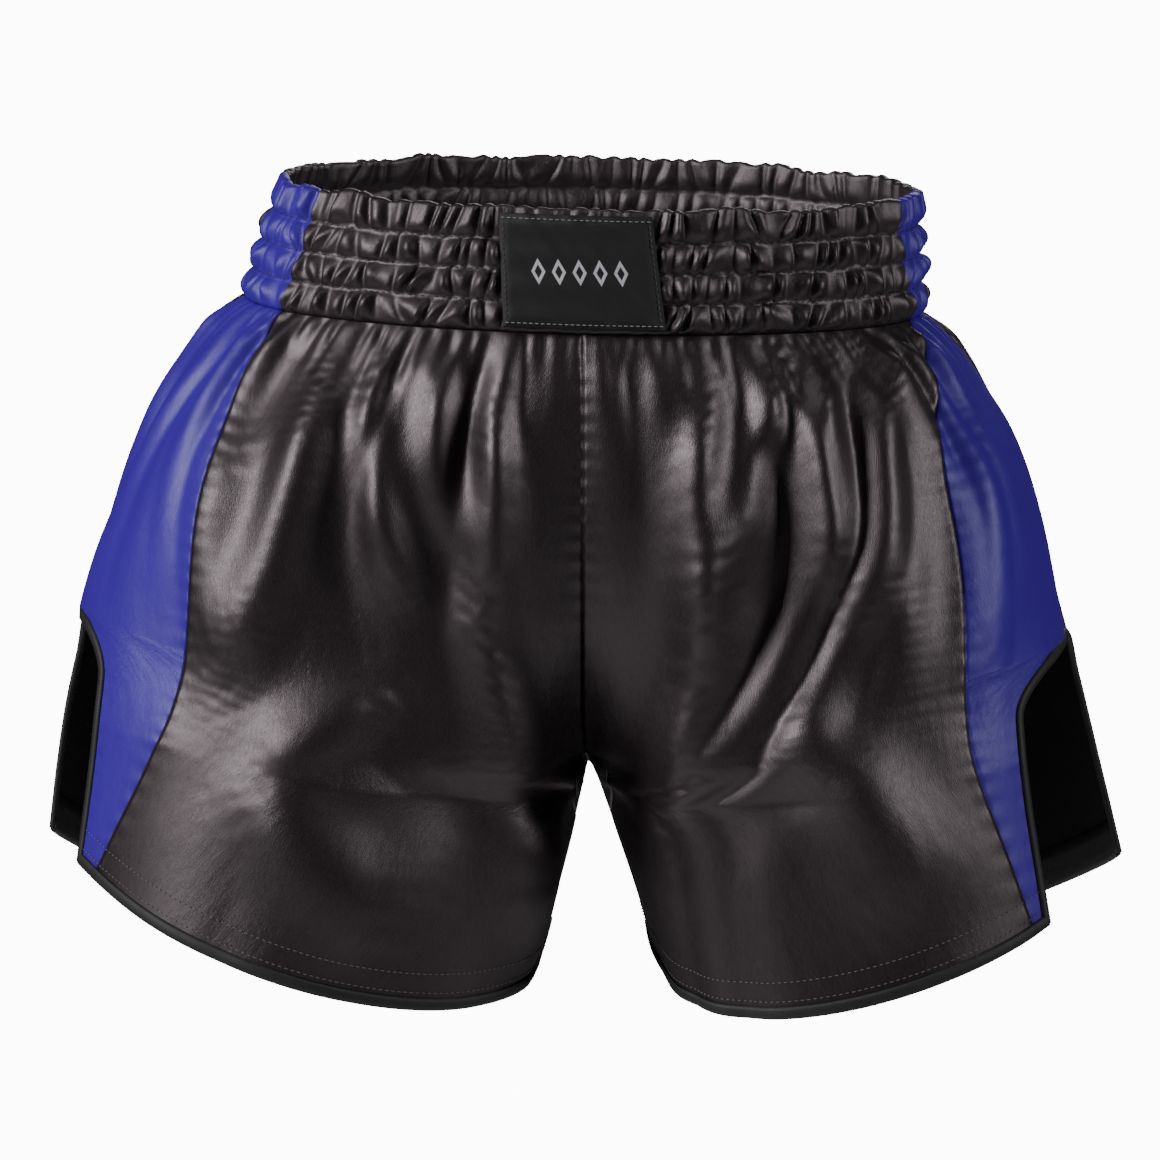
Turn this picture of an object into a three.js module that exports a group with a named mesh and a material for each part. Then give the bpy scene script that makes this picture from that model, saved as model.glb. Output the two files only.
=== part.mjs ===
// A pair of satin boxing shorts, as worn: six cut panels, four waist elastics, a front label,
// bound side vents and banded leg hems. Millimetres, +Z up, the front faces -Y and the wearer's
// right leg is on -X. The origin is the centre of the waist opening, halfway up the waistband.
//
// Every cut piece is a thin solid that follows one drape surface, point(side, s, q):
//   side  -1 for the wearer's right half, +1 for the left half
//   s     0 on the side line, 1 at the centre front or inseam, -1 at the centre back or inseam
//   q     -1 on the top rim, 0 where the waistband ends, 1 on the leg hem
import * as THREE from "three";

// Waistband.
const ELASTIC_ROWS = 4;
const ROW_PITCH = 13.25;
const BAND_HEIGHT = ELASTIC_ROWS * ROW_PITCH;
const WAIST_HALF_WIDTH = { top: 141.5, bottom: 151 };
const WAIST_HALF_DEPTH = { top: 96, bottom: 98 };
const WAIST_RISE = 0.09; // how much higher the back of the waist sits, per mm of depth

// Side line, rises and inseam of one half, from the waistband down.
const HEM_HALF_WIDTH = 240;
const SIDE_LENGTH = 240; // drop of the side line from the waistband to the hem corner
const CROTCH = { y: 12, drop: 203.5 };
const INSEAM = { spread: 23, y: 7, drop: 78 };
const HEM_DIP = { outer: 25, inner: 72 }; // how far the curved hem hangs below its two ends
const FRONT = { face: -1, hip: 122, seat: -70, seatDrop: 210, legDepth: 108 };
const BACK = { face: 1, hip: 130, seat: 100, seatDrop: 214, legDepth: 114 };
const CROTCH_AT = 0.79; // q of the crotch point
const LEG_ROUND = 14; // how far a leg's section leans out from its inseam
const RISE_CURL = 0.35; // how much faster the centre lengthens than the side

// How the shorts hang: the waist leans to one side, the right hip is hitched up, and the inseams
// swing to the left.
const WAIST_LEAN = 7.5;
const HITCH = 0.025; // drop per mm across
const SWING = 7;

// The front seams, as s. Each leaves the waistband, is furthest forward at the hip and comes back
// to the hem. The gathers pull them one way at the waist, and the legs turn the other way.
const HIP_AT = 0.35; // q
const SEAM = {
  right: { top: 0.33, waist: 0.31, hip: 0.38, hem: 0.17 },
  left: { top: 0.26, waist: 0.17, hip: 0.4, hem: 0.27 },
};

// Cloth, elastic and trims.
const CLOTH = 1.0;
const SEAM_GAP = 0.3;
const LEG_CLEAR = 0.7; // what the two legs keep between them above the crotch, each
const ELASTIC = { width: 10.5, thick: 1.2 };
const CHANNEL = { width: ELASTIC.width + 0.8, thick: ELASTIC.thick + 0.8 };
const CASING = { pinch: 0.8, outer: 3.2, inner: 2.2 }; // half thickness at a stitch line, and puffs
const LABEL = { width: 71, height: 50, thick: 0.8, centre: -0.021, lean: 0.05 };
const VENT = { apex: 0.625, base: 0.715, back: -0.02, front: { right: 0.125, left: 0.24 }, rear: -0.06 };
const BINDING = { leg: 3, wall: 0.6, slot: CLOTH / 2 + 1.7, stop: 0.75 }; // a q below the arch
const HEM_BAND = { outer: 4, inner: 16, wall: 0.6, slot: CLOTH / 2 + 0.6 };
// The gusset's ends in q, its reach in s, its tips as a share of its length, how much of its notch
// it fills at a tip and at its middle, and how far its middle line faces down at least.
const GUSSET = {
  top: 0.715, bottom: 0.87, reach: 0.16, tip: 0.1, fill: { tip: 0.97, middle: 0.93 }, slope: 0.2,
};

const { lerp, smoothstep, clamp } = THREE.MathUtils;
const bandBottom = -BAND_HEIGHT / 2;
const hemCornerZ = bandBottom - SIDE_LENGTH;
const crotchZ = bandBottom - CROTCH.drop;
const ELLIPSE = 0.5523; // handle length of a cubic that follows a quarter ellipse

const vector = (x, y, z) => new THREE.Vector3(x, y, z);
const cubic = (...points) => new THREE.CubicBezierCurve3(...points.map((p) => vector(...p)));

const sideLine = cubic(
  [WAIST_HALF_WIDTH.bottom, 0, bandBottom],
  [HEM_HALF_WIDTH - 31, 2, bandBottom - 36],
  [HEM_HALF_WIDTH - 16, 6, bandBottom - 161],
  [HEM_HALF_WIDTH, 10, hemCornerZ],
);
for (const half of [FRONT, BACK]) {
  half.rise = cubic(
    [0, half.face * WAIST_HALF_DEPTH.bottom, bandBottom],
    [0, half.face * half.hip, bandBottom - 84],
    [0, half.seat, bandBottom - half.seatDrop],
    [0, CROTCH.y, crotchZ],
  );
}
const inseamLine = new THREE.LineCurve3(
  vector(0, CROTCH.y, crotchZ),
  vector(INSEAM.spread, INSEAM.y, crotchZ - INSEAM.drop),
);

// Where the centre front or back edge of a half is, at q.
const stretched = (q) => q + RISE_CURL * q ** 3;
function centreEdge(half, q) {
  const crotch = stretched(CROTCH_AT);
  return q <= CROTCH_AT
    ? half.rise.getPointAt(stretched(q) / crotch)
    : inseamLine.getPointAt((stretched(q) - crotch) / (stretched(1) - crotch));
}

// The four control points of the cross-section from the side line to the centre, at q.
function section(half, q) {
  if (q < 0) {
    const a = lerp(WAIST_HALF_WIDTH.bottom, WAIST_HALF_WIDTH.top, -q);
    const b = lerp(WAIST_HALF_DEPTH.bottom, WAIST_HALF_DEPTH.top, -q) * half.face;
    const z = bandBottom - q * BAND_HEIGHT;
    return [vector(a, 0, z), vector(a, ELLIPSE * b, z), vector(ELLIPSE * a, b, z), vector(0, b, z)];
  }
  const p0 = sideLine.getPointAt(q);
  const p3 = centreEdge(half, q);
  const toLeg = smoothstep(q, 0, CROTCH_AT);
  // Both handles of a leg's section reach this far, so that it is legDepth deep at its middle.
  const reach = (8 * half.legDepth * half.face - p0.y - p3.y) / 6;
  const dip = q ** 5;
  const p1 = vector(p0.x, lerp(ELLIPSE * p3.y, reach, toLeg), p0.z - HEM_DIP.outer * dip);
  const p2 = vector(
    lerp(ELLIPSE * p0.x, p3.x + LEG_ROUND, smoothstep(q, 0.3, CROTCH_AT + 0.1)),
    lerp(p3.y, reach, toLeg),
    p3.z - HEM_DIP.inner * dip,
  );
  return [p0, p1, p2, p3];
}

// A point of the drape surface.
function point(side, s, q) {
  const half = s < 0 ? BACK : FRONT;
  const [p0, p1, p2, p3] = section(half, clamp(q, -1, 1));
  const p = new THREE.CubicBezierCurve3(p0, p1, p2, p3).getPoint(Math.abs(s));
  p.x = side * (p.x + SEAM_GAP / 2 + LEG_CLEAR * smoothstep(q, 0.3, CROTCH_AT) * s ** 4);
  p.z += WAIST_RISE * p.y * (1 - smoothstep(q, 0, 0.5)) - HITCH * p.x;
  p.x += WAIST_LEAN * (clamp(-q, 0, 1) - 0.5) + swing(s, q);
  return p;
}
const swing = (s, q) => SWING * smoothstep(q, 0.6, 1) * s ** 2;

// The surface's outward unit normal.
function normal(side, s, q) {
  const step = 1e-3;
  const s0 = s < 0 ? Math.max(s - step, -1) : Math.max(s - step, 0);
  const s1 = s < 0 ? Math.min(s + step, 0) : Math.min(s + step, 1);
  const q0 = q < 0 ? Math.max(q - step, -1) : Math.max(q - step, 0);
  const q1 = q < 0 ? Math.min(q + step, 0) : Math.min(q + step, 1);
  const along = point(side, s1, q).sub(point(side, s0, q));
  const down = point(side, s, q1).sub(point(side, s, q0));
  return along.cross(down).multiplyScalar(side).normalize();
}

const offsetPoint = (side, s, q, out) =>
  point(side, s, q).addScaledVector(normal(side, s, q), out);

// The front seam: straight in the waistband, then a quarter wave to the hip and an easy curve on.
function frontSeam(side, q) {
  const { top, waist, hip, hem } = side < 0 ? SEAM.right : SEAM.left;
  if (q < 0) return lerp(waist, top, -q);
  if (q < HIP_AT) return lerp(waist, hip, Math.sin((q / HIP_AT) * (Math.PI / 2)));
  return lerp(hip, hem, ((q - HIP_AT) / (1 - HIP_AT)) ** 1.5);
}

// The arched vent: a quarter ellipse down each side of its apex, then a straight edge.
function ventEdge(edge, q) {
  if (q <= VENT.apex) return VENT.back;
  const drop = clamp((VENT.base - q) / (VENT.base - VENT.apex), 0, 1);
  return VENT.back + (edge - VENT.back) * Math.sqrt(1 - drop ** 2);
}
const ventFront = (side) => (side < 0 ? VENT.front.right : VENT.front.left);
const ARCH_STEPS = 5;
const archStops = Array.from(
  { length: ARCH_STEPS + 1 },
  (_, k) => VENT.base - (VENT.base - VENT.apex) * Math.cos((k / ARCH_STEPS) * (Math.PI / 2)),
);
const hemBandTop = 1 - HEM_BAND.inner / SIDE_LENGTH;
const bodyStops = [0.07, 0.16, 0.27, 0.38, 0.5, ...archStops, CROTCH_AT, 0.87, hemBandTop, 1];

// The triangles that close the end of a swept section. Rungs cut the outline into cells, each
// joining a point to the one that faces it, and every cell is filled round the holes in it.
function capTriangles(loops, rungs) {
  const points = loops.flat();
  const numbers = (first, last) =>
    Array.from({ length: last - first + 1 }, (_, i) => first + i);
  const [outline, ...holes] = loops.map((loop, k) => {
    const first = loops.slice(0, k).flat().length;
    return numbers(first, first + loop.length - 1);
  });
  const cells = rungs.slice(1).map((end, k) => [
    ...outline.slice(rungs[k], end + 1),
    ...outline.slice(outline.length - 1 - end, outline.length - rungs[k]),
  ]);
  if (!rungs.length) cells.push(outline);
  const flat = (corners) =>
    corners.map((i) => new THREE.Vector2(points[i][0] * SIDE_LENGTH, points[i][1]));
  return cells.flatMap((cell) => {
    const heights = cell.map((i) => points[i][0]);
    const within = holes.filter(([i]) =>
      Math.min(...heights) < points[i][0] && points[i][0] < Math.max(...heights),
    );
    const corners = [...cell, ...within.flat()];
    const filled = THREE.ShapeUtils.triangulateShape(flat(cell), within.map(flat));
    return filled.map((triangle) => triangle.map((i) => corners[i]));
  });
}

// A closed mesh from loops of points in (q, out) that are carried along stations.
// place(station, q, out) gives the point; with closed true the last station joins the first.
function sweep(name, material, section, stations, place, closed = false) {
  const { outline, holes = [], rungs = [] } = section;
  const loops = [turnedTo(false, outline), ...holes.map((hole) => turnedTo(true, hole))];
  const flat = loops.flat();
  const positions = stations.flatMap((at) =>
    flat.flatMap(([q, out]) => place(at, q, out).toArray()),
  );
  const faces = [];
  const ring = flat.length;
  const spans = closed ? stations.length : stations.length - 1;
  for (let k = 0; k < spans; k++) {
    const near = k * ring;
    const far = ((k + 1) % stations.length) * ring;
    let first = 0;
    for (const loop of loops) {
      for (let i = 0; i < loop.length; i++) {
        const a = first + i;
        const b = first + ((i + 1) % loop.length);
        const corners = [near + a, near + b, far + b, far + a];
        if (flat[a][0] > flat[b][0]) corners.push(corners.shift()); // facing walls split alike
        const [c0, c1, c2, c3] = corners;
        faces.push(c0, c1, c2, c0, c2, c3);
      }
      first += loop.length;
    }
  }
  if (!closed) {
    const last = (stations.length - 1) * ring;
    for (const [a, b, c] of capTriangles(loops, rungs)) {
      faces.push(a, c, b, last + a, last + b, last + c);
    }
  }
  const geometry = new THREE.BufferGeometry();
  geometry.setAttribute("position", new THREE.Float32BufferAttribute(positions, 3));
  geometry.setIndex(signedVolume(positions, faces) < 0 ? reversed(faces) : faces);
  geometry.computeVertexNormals();
  const mesh = new THREE.Mesh(geometry, material);
  mesh.name = name;
  return mesh;
}

// The loop of (q, out) points, reversed if need be so that it runs the asked way round.
function turnedTo(clockwise, loop) {
  const isClockwise = THREE.ShapeUtils.isClockWise(loop.map(([q, out]) => ({ x: q, y: out })));
  return isClockwise === clockwise ? loop : loop.toReversed();
}

function signedVolume(positions, faces) {
  const corner = (i) => new THREE.Vector3().fromArray(positions, 3 * i);
  let six = 0;
  for (let i = 0; i < faces.length; i += 3) {
    six += corner(faces[i]).dot(corner(faces[i + 1]).cross(corner(faces[i + 2])));
  }
  return six / 6;
}

function reversed(faces) {
  const turned = [...faces];
  for (let i = 0; i < turned.length; i += 3) {
    [turned[i + 1], turned[i + 2]] = [turned[i + 2], turned[i + 1]];
  }
  return turned;
}

const evenly = (count, from = 0, to = 1) =>
  Array.from({ length: count + 1 }, (_, k) => lerp(from, to, k / count));
const both = (build) => [-1, 1].map((side) => build(side, side < 0 ? "right" : "left"));

// Heights in the waistband are in mm above its lower edge.
const bandQ = (height) => -height / BAND_HEIGHT;

// The cut panels share this outline: one layer of cloth down to the hem, and above q 0 a casing
// with a channel for each elastic, puffed between the stitch lines.
function panelOutline() {
  const rowStops = Array.from({ length: ELASTIC_ROWS }, (_, row) => [
    [row * ROW_PITCH, 0],
    [(row + 0.3) * ROW_PITCH, 1],
    [(row + 0.7) * ROW_PITCH, 1],
  ]).flat();
  const casing = [...rowStops, [BAND_HEIGHT, 0]];
  const face = (puffed) =>
    casing.map(([height, puff]) => [bandQ(height), lerp(CASING.pinch, puffed, puff)]);
  const outside = face(CASING.outer);
  const inside = face(CASING.inner).map(([q, out]) => [q, -out]);
  const lower = bodyStops.map((q) => [q, CLOTH / 2]);
  return [
    ...lower.toReversed(),
    ...outside,
    ...inside.toReversed(),
    ...lower.map(([q, out]) => [q, -out]),
  ];
}

// The casing's cells are its rows, and below them there is one between every two stops.
const ROW_POINTS = 3;
const panelRungs = [
  ...bodyStops.map((_, i) => i),
  ...Array.from({ length: ELASTIC_ROWS + 1 }, (_, row) => bodyStops.length + row * ROW_POINTS),
];

function channelHole(row) {
  const middle = (row + 0.5) * ROW_PITCH;
  const [low, high] = [middle - CHANNEL.width / 2, middle + CHANNEL.width / 2].map(bandQ);
  const t = CHANNEL.thick / 2;
  return [[low, -t], [high, -t], [high, t], [low, t]];
}
const channels = Array.from({ length: ELASTIC_ROWS }, (_, row) => channelHole(row));

// Cloth materials. Satin is seen on the face, the bands and bindings are duller.
const satin = (color) => new THREE.MeshStandardMaterial({ color, roughness: 0.38, metalness: 0 });
const blackSatin = satin(0x1b1718);
const blueSatin = satin(0x2a2894);
const trimCloth = new THREE.MeshStandardMaterial({ color: 0x141213, roughness: 0.6 });
const labelWeave = new THREE.MeshStandardMaterial({ color: 0x231d20, roughness: 0.7 });
const elasticKnit = new THREE.MeshStandardMaterial({ color: 0xd9d6cf, roughness: 0.85 });

// The cut panels of one half: where the columns of each are across it, and its two edges, as s
// at q. The columns beside a vent are narrow, so that the binding lies flat on them.
const PANELS = {
  front: {
    columns: evenly(9),
    from: (side, q) => frontSeam(side, q),
    to: (side, q) => gussetEdge(q),
  },
  side: {
    columns: [0, ...evenly(4, 0.12, 1)],
    from: (side, q) => ventEdge(ventFront(side), q),
    to: (side, q) => frontSeam(side, q),
  },
  back: {
    columns: [...evenly(10, 0, 0.96), 1],
    from: (side, q) => -gussetEdge(q),
    to: (side, q) => ventEdge(VENT.rear, q),
  },
};

// The inner edge of the front and back panels, notched beside the crotch for the gusset.
function gussetEdge(q) {
  const above = (q - GUSSET.top) / (CROTCH_AT - GUSSET.top);
  const below = (GUSSET.bottom - q) / (GUSSET.bottom - CROTCH_AT);
  return 1 - GUSSET.reach * clamp(Math.min(above, below), 0, 1);
}

// The length across a panel at q, along the drape surface's chord.
const panelWidth = (side, { from, to }, q) =>
  point(side, from(side, q), q).distanceTo(point(side, to(side, q), q));

// A point this share of the way across a panel's flat facets, with half a seam gap left at the
// two edges.
function panelPoint(side, cut, across, q, out) {
  const [a, b] = [cut.from(side, q), cut.to(side, q)];
  const inset = (SEAM_GAP / 2 / panelWidth(side, cut, q)) * (b - a);
  const at = (share) => offsetPoint(side, lerp(a + inset, b - inset, share), q, out);
  const next = Math.max(1, cut.columns.findIndex((share) => across <= share));
  const [near, far] = [cut.columns[next - 1], cut.columns[next]];
  return at(near).lerp(at(far), (across - near) / (far - near));
}

const panels = (kind, material) =>
  both((side, word) => {
    const cut = PANELS[kind];
    const section = { outline: panelOutline(), holes: channels, rungs: panelRungs };
    return sweep(
      `${kind}_panel_${word}`, material, section, cut.columns,
      (across, q, out) => panelPoint(side, cut, across, q, out),
    );
  });

// The gusset spans the crotch from a tip at the front seam to one at the back seam. Stations run
// front to back, 0 to 2; u runs across it, from the right inseam to the left one.
function gusset() {
  const { top, bottom, reach, tip, fill, slope } = GUSSET;
  const spot = (station, u) => {
    const face = station > 1 ? -1 : 1;
    const t = station > 1 ? 2 - station : station;
    const middle = { s: 1, q: lerp(top, CROTCH_AT, t) };
    const edge = t < 0.5
      ? { s: 1 - reach * 2 * t, q: lerp(top, CROTCH_AT, 2 * t) }
      : { s: 1 - reach * (2 - 2 * t), q: lerp(CROTCH_AT, bottom, 2 * t - 1) };
    const across = Math.abs(u) * lerp(fill.tip, fill.middle, t);
    const side = u < 0 ? -1 : 1;
    const [s, q] = [lerp(middle.s, edge.s, across) * face, lerp(middle.q, edge.q, across)];
    const at = point(side, s, q);
    const up = normal(side, s, q);
    if (u === 0) {
      at.x = swing(s, q);
      up.set(0, up.y, Math.min(up.z, -slope)).normalize();
    }
    return { at, up };
  };
  const across = [-1, -0.5, 0, 0.5, 1];
  const outline = [
    ...across.map((u) => [u, CLOTH / 2]),
    ...across.map((u) => [u, -CLOTH / 2]).toReversed(),
  ];
  const section = { outline, rungs: across.map((_, i) => i) };
  return sweep("crotch_gusset", blackSatin, section, [tip, 0.5, 1, 1.5, 2 - tip], (at, u, out) => {
    const found = spot(at, u);
    return found.at.addScaledVector(found.up, out);
  });
}

// Something that runs right round the waist: the left half from back to front, then the right.
const ROUND_STEPS = 12;
const around = [
  ...evenly(2 * ROUND_STEPS, -1, 1).map((s) => ({ side: 1, s })),
  ...evenly(2 * ROUND_STEPS, 1, -1).map((s) => ({ side: -1, s })),
];

function elastics() {
  return Array.from({ length: ELASTIC_ROWS }, (_, row) => {
    const middle = (row + 0.5) * ROW_PITCH;
    const [low, high] = [middle - ELASTIC.width / 2, middle + ELASTIC.width / 2].map(bandQ);
    const t = ELASTIC.thick / 2;
    const outline = [[low, -t], [high, -t], [high, t], [low, t]];
    return sweep(
      `elastic_row_${ELASTIC_ROWS - row}`, elasticKnit, { outline }, around,
      ({ side, s }, q, out) => offsetPoint(side, s, q, out), true,
    );
  });
}

// The label lies over the puffs of the casing, across the centre front seam.
function label() {
  const middle = BAND_HEIGHT / 2;
  const [low, high] = [middle - LABEL.height / 2, middle + LABEL.height / 2].map(bandQ);
  const inside = CASING.outer + SEAM_GAP;
  const outline = [
    [low, inside], [high, inside],
    [high, inside + LABEL.thick], [low, inside + LABEL.thick],
  ];
  // s falls away from the centre by this much for a step across the front of the waist.
  const perWidth = 1 / (3 * ELLIPSE * WAIST_HALF_WIDTH.bottom);
  const half = LABEL.width * perWidth * 0.5;
  return sweep("front_label", labelWeave, { outline }, evenly(8, -half, half), (at, q, out) => {
    const d = at + LABEL.centre + LABEL.lean * (q + 0.5); // upright, whichever way the waist leans
    return offsetPoint(d < 0 ? -1 : 1, 1 - Math.abs(d), q, out);
  });
}

// A folded strip around an edge. Its section is in (beyond the edge, out): two legs and a fold.
function foldOutline({ outer, inner, wall, slot }) {
  const thick = slot + wall;
  return [
    [-outer, slot], [SEAM_GAP, slot], [SEAM_GAP, -slot], [-inner, -slot],
    [-inner, -thick], [SEAM_GAP + wall, -thick], [SEAM_GAP + wall, thick], [-outer, thick],
  ];
}

function ventBindings() {
  const stops = [...archStops, BINDING.stop, CROTCH_AT, 0.87, hemBandTop, 1];
  return both((side, word) => {
    const front = stops.map((q) => ({ s: ventEdge(ventFront(side), q), q }));
    const rear = stops.slice(1).map((q) => ({ s: ventEdge(VENT.rear, q), q }));
    const path = [...front.toReversed(), ...rear].map(({ s, q }) => ({
      at: point(side, s, q), up: normal(side, s, q),
    }));
    const outline = foldOutline({ ...BINDING, outer: BINDING.leg, inner: BINDING.leg });
    path.forEach((here, k) => {
      const before = path[Math.max(k - 1, 0)].at;
      const after = path[Math.min(k + 1, path.length - 1)].at;
      const along = after.clone().sub(before).normalize();
      here.beyond = along.cross(here.up).multiplyScalar(side).normalize();
    });
    return sweep(`vent_binding_${word}`, trimCloth, { outline }, path, (here, beyond, out) =>
      here.at.clone().addScaledVector(here.beyond, beyond).addScaledVector(here.up, out),
    );
  });
}

// The hem bands run from the vent binding to the inseam, on the columns of the panels they hold.
function hemBands() {
  const { inner } = HEM_BAND;
  const outline = foldOutline(HEM_BAND);
  const place = (side) => ({ cut, across }, beyond, out) => {
    const hem = panelPoint(side, cut, across, 1, out);
    const top = panelPoint(side, cut, across, hemBandTop, out);
    if (beyond <= 0) return hem.lerp(top, -beyond / inner);
    return hem.addScaledVector(hem.clone().sub(top).normalize(), beyond);
  };
  const clear = BINDING.leg + BINDING.wall + 2 * SEAM_GAP;
  return both((side, word) => {
    const share = (cut) => clear / panelWidth(side, cut, 1);
    const stations = (cut, from, to) =>
      [from, ...cut.columns.filter((at) => from < at && at < to), to]
        .map((across) => ({ cut, across }));
    const front = [
      ...stations(PANELS.side, share(PANELS.side), 1),
      ...stations(PANELS.front, 0, 1),
    ];
    const back = stations(PANELS.back, 0, 1 - share(PANELS.back));
    return [
      sweep(`hem_band_front_${word}`, trimCloth, { outline }, front, place(side)),
      sweep(`hem_band_back_${word}`, trimCloth, { outline }, back, place(side)),
    ];
  }).flat();
}

const shorts = new THREE.Group();
shorts.add(
  ...panels("front", blackSatin), ...panels("side", blueSatin), ...panels("back", blackSatin),
  ...elastics(), label(), gusset(), ...ventBindings(), ...hemBands(),
);

export default shorts;
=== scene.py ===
"""Satin boxing shorts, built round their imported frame: shirred waistband, cut panels, vents, hems."""

import math

import bmesh
import bpy
import numpy as np
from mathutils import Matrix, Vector


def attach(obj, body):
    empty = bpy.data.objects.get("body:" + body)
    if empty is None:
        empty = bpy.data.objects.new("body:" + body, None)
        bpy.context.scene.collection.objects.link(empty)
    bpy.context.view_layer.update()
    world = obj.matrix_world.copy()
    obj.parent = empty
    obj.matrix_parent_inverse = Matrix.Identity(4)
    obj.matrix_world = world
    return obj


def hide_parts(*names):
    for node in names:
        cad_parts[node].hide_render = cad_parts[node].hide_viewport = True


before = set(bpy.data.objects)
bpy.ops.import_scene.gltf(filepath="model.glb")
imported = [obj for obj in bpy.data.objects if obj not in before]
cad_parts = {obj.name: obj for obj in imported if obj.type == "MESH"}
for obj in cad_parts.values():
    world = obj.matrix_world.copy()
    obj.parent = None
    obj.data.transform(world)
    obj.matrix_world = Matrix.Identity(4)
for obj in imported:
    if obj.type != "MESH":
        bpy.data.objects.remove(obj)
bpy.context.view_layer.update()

bl_info = {
    "name": "Boxing Shorts",
    "version": (1, 0, 0),
    "blender": (4, 5, 0),
    "location": "View3D > Sidebar > Shorts",
    "description": "Builds satin boxing shorts: panels, shirred waistband, label, vents and hems",
    "category": "Add Mesh",
}

TAU = 2 * math.pi

# The cut, in metres. q runs down each half: -1 top rim, 0 end of the waistband, 1 hem.
ROWS = 4
PITCH = 0.01325
BAND = ROWS * PITCH
WAIST_WIDE = (0.1415, 0.151)  # half width at the top and the bottom of the band
WAIST_DEEP = (0.096, 0.098)
WAIST_RISE = 0.09
WAIST_LEAN = 0.0075
HITCH = 0.025
SWING = 0.007
HEM_WIDE = 0.240
SIDE_LENGTH = 0.240
CROTCH_Y, CROTCH_DROP, CROTCH_AT = 0.012, 0.2035, 0.79
INSEAM = (0.023, 0.007, 0.078)
DIP_OUTER, DIP_INNER = 0.025, 0.072
LEG_ROUND = 0.014
CURL = 0.35
HALVES = {
    1: {"face": -1, "hip": 0.122, "seat": -0.070, "drop": 0.210, "deep": 0.108},
    -1: {"face": 1, "hip": 0.130, "seat": 0.100, "drop": 0.214, "deep": 0.114},
}
ELLIPSE = 0.5523
HIP_AT = 0.35
SEAM = {  # the front seam in s: top rim, end of the waistband, hip, hem
    -1: (0.33, 0.31, 0.38, 0.17),
    1: (0.26, 0.17, 0.40, 0.27),
}
VENT = {"apex": 0.625, "base": 0.715, "back": -0.02, -1: 0.125, 1: 0.24, "rear": -0.06}
GUSSET = {"top": 0.715, "bottom": 0.87, "reach": 0.16}
BAND_BOTTOM = -BAND / 2
CROTCH_Z = BAND_BOTTOM - CROTCH_DROP
SIDES = {-1: "right", 1: "left"}
TINY = 1e-3  # a small step of s or q, to find a direction


# --- small helpers -----------------------------------------------------------------------------

def blend(a, b, t):
    return a + (b - a) * t


def ease(x, low, high):
    t = np.clip((x - low) / (high - low), 0.0, 1.0)
    return t * t * (3 - 2 * t)


def wander(x, seed, waves=6):
    """A smooth, seeded, never repeating line of x, about -1 to 1, that turns once per unit."""
    rng = np.random.default_rng(seed)
    pitch, start = rng.uniform(0.35, 1.3, waves), rng.uniform(0, TAU, waves)
    total = sum(np.sin(TAU * p * x + s) for p, s in zip(pitch, start))
    return total / math.sqrt(waves)


def pleat(phase):
    """Rounded ridges with narrow valleys, 0 to 1, one ridge per unit of phase."""
    return np.sqrt(np.sin(np.pi * phase) ** 2 + 0.01) - 0.1


class LongCurve:
    """A cubic whose points are found by their share of its length."""

    def __init__(self, *points):
        t = np.linspace(0, 1, 300)[:, None]
        a, b, c, d = (np.array(p, float) for p in points)
        u = 1 - t
        self.points = u**3 * a + 3 * u * u * t * b + 3 * u * t * t * c + t**3 * d
        steps = np.linalg.norm(np.diff(self.points, axis=0), axis=1)
        self.share = np.concatenate([[0], np.cumsum(steps)]) / steps.sum()

    def at(self, share):
        return np.stack([np.interp(share, self.share, p) for p in self.points.T], -1)


SIDE_LINE = LongCurve(
    (WAIST_WIDE[1], 0, BAND_BOTTOM),
    (HEM_WIDE - 0.031, 0.002, BAND_BOTTOM - 0.036),
    (HEM_WIDE - 0.016, 0.006, BAND_BOTTOM - 0.161),
    (HEM_WIDE, 0.010, BAND_BOTTOM - SIDE_LENGTH),
)
for half in HALVES.values():
    half["rise"] = LongCurve(
        (0, half["face"] * WAIST_DEEP[1], BAND_BOTTOM),
        (0, half["face"] * half["hip"], BAND_BOTTOM - 0.084),
        (0, half["seat"], BAND_BOTTOM - half["drop"]),
        (0, CROTCH_Y, CROTCH_Z),
    )


def drape(side, s, q):
    """Points of the smooth drape surface, for arrays of s and q."""
    s, q = np.broadcast_arrays(np.asarray(s, float), np.asarray(q, float))
    out = np.empty(s.shape + (3,))
    for sign, half in HALVES.items():
        pick = s >= 0 if sign > 0 else s < 0
        if pick.any():
            out[pick] = half_drape(half, np.abs(s[pick]), q[pick])
    out[..., 0] *= side
    out[..., 2] += WAIST_RISE * out[..., 1] * (1 - ease(q, 0, 0.5))
    out[..., 2] -= HITCH * out[..., 0]
    out[..., 0] += WAIST_LEAN * (np.clip(-q, 0, 1) - 0.5) + SWING * ease(q, 0.6, 1) * s**2
    return out


def drape_both(side, s, q):
    """The same where the side differs from point to point."""
    return np.where(np.asarray(side)[..., None] < 0, drape(-1, s, q), drape(1, s, q))


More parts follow.
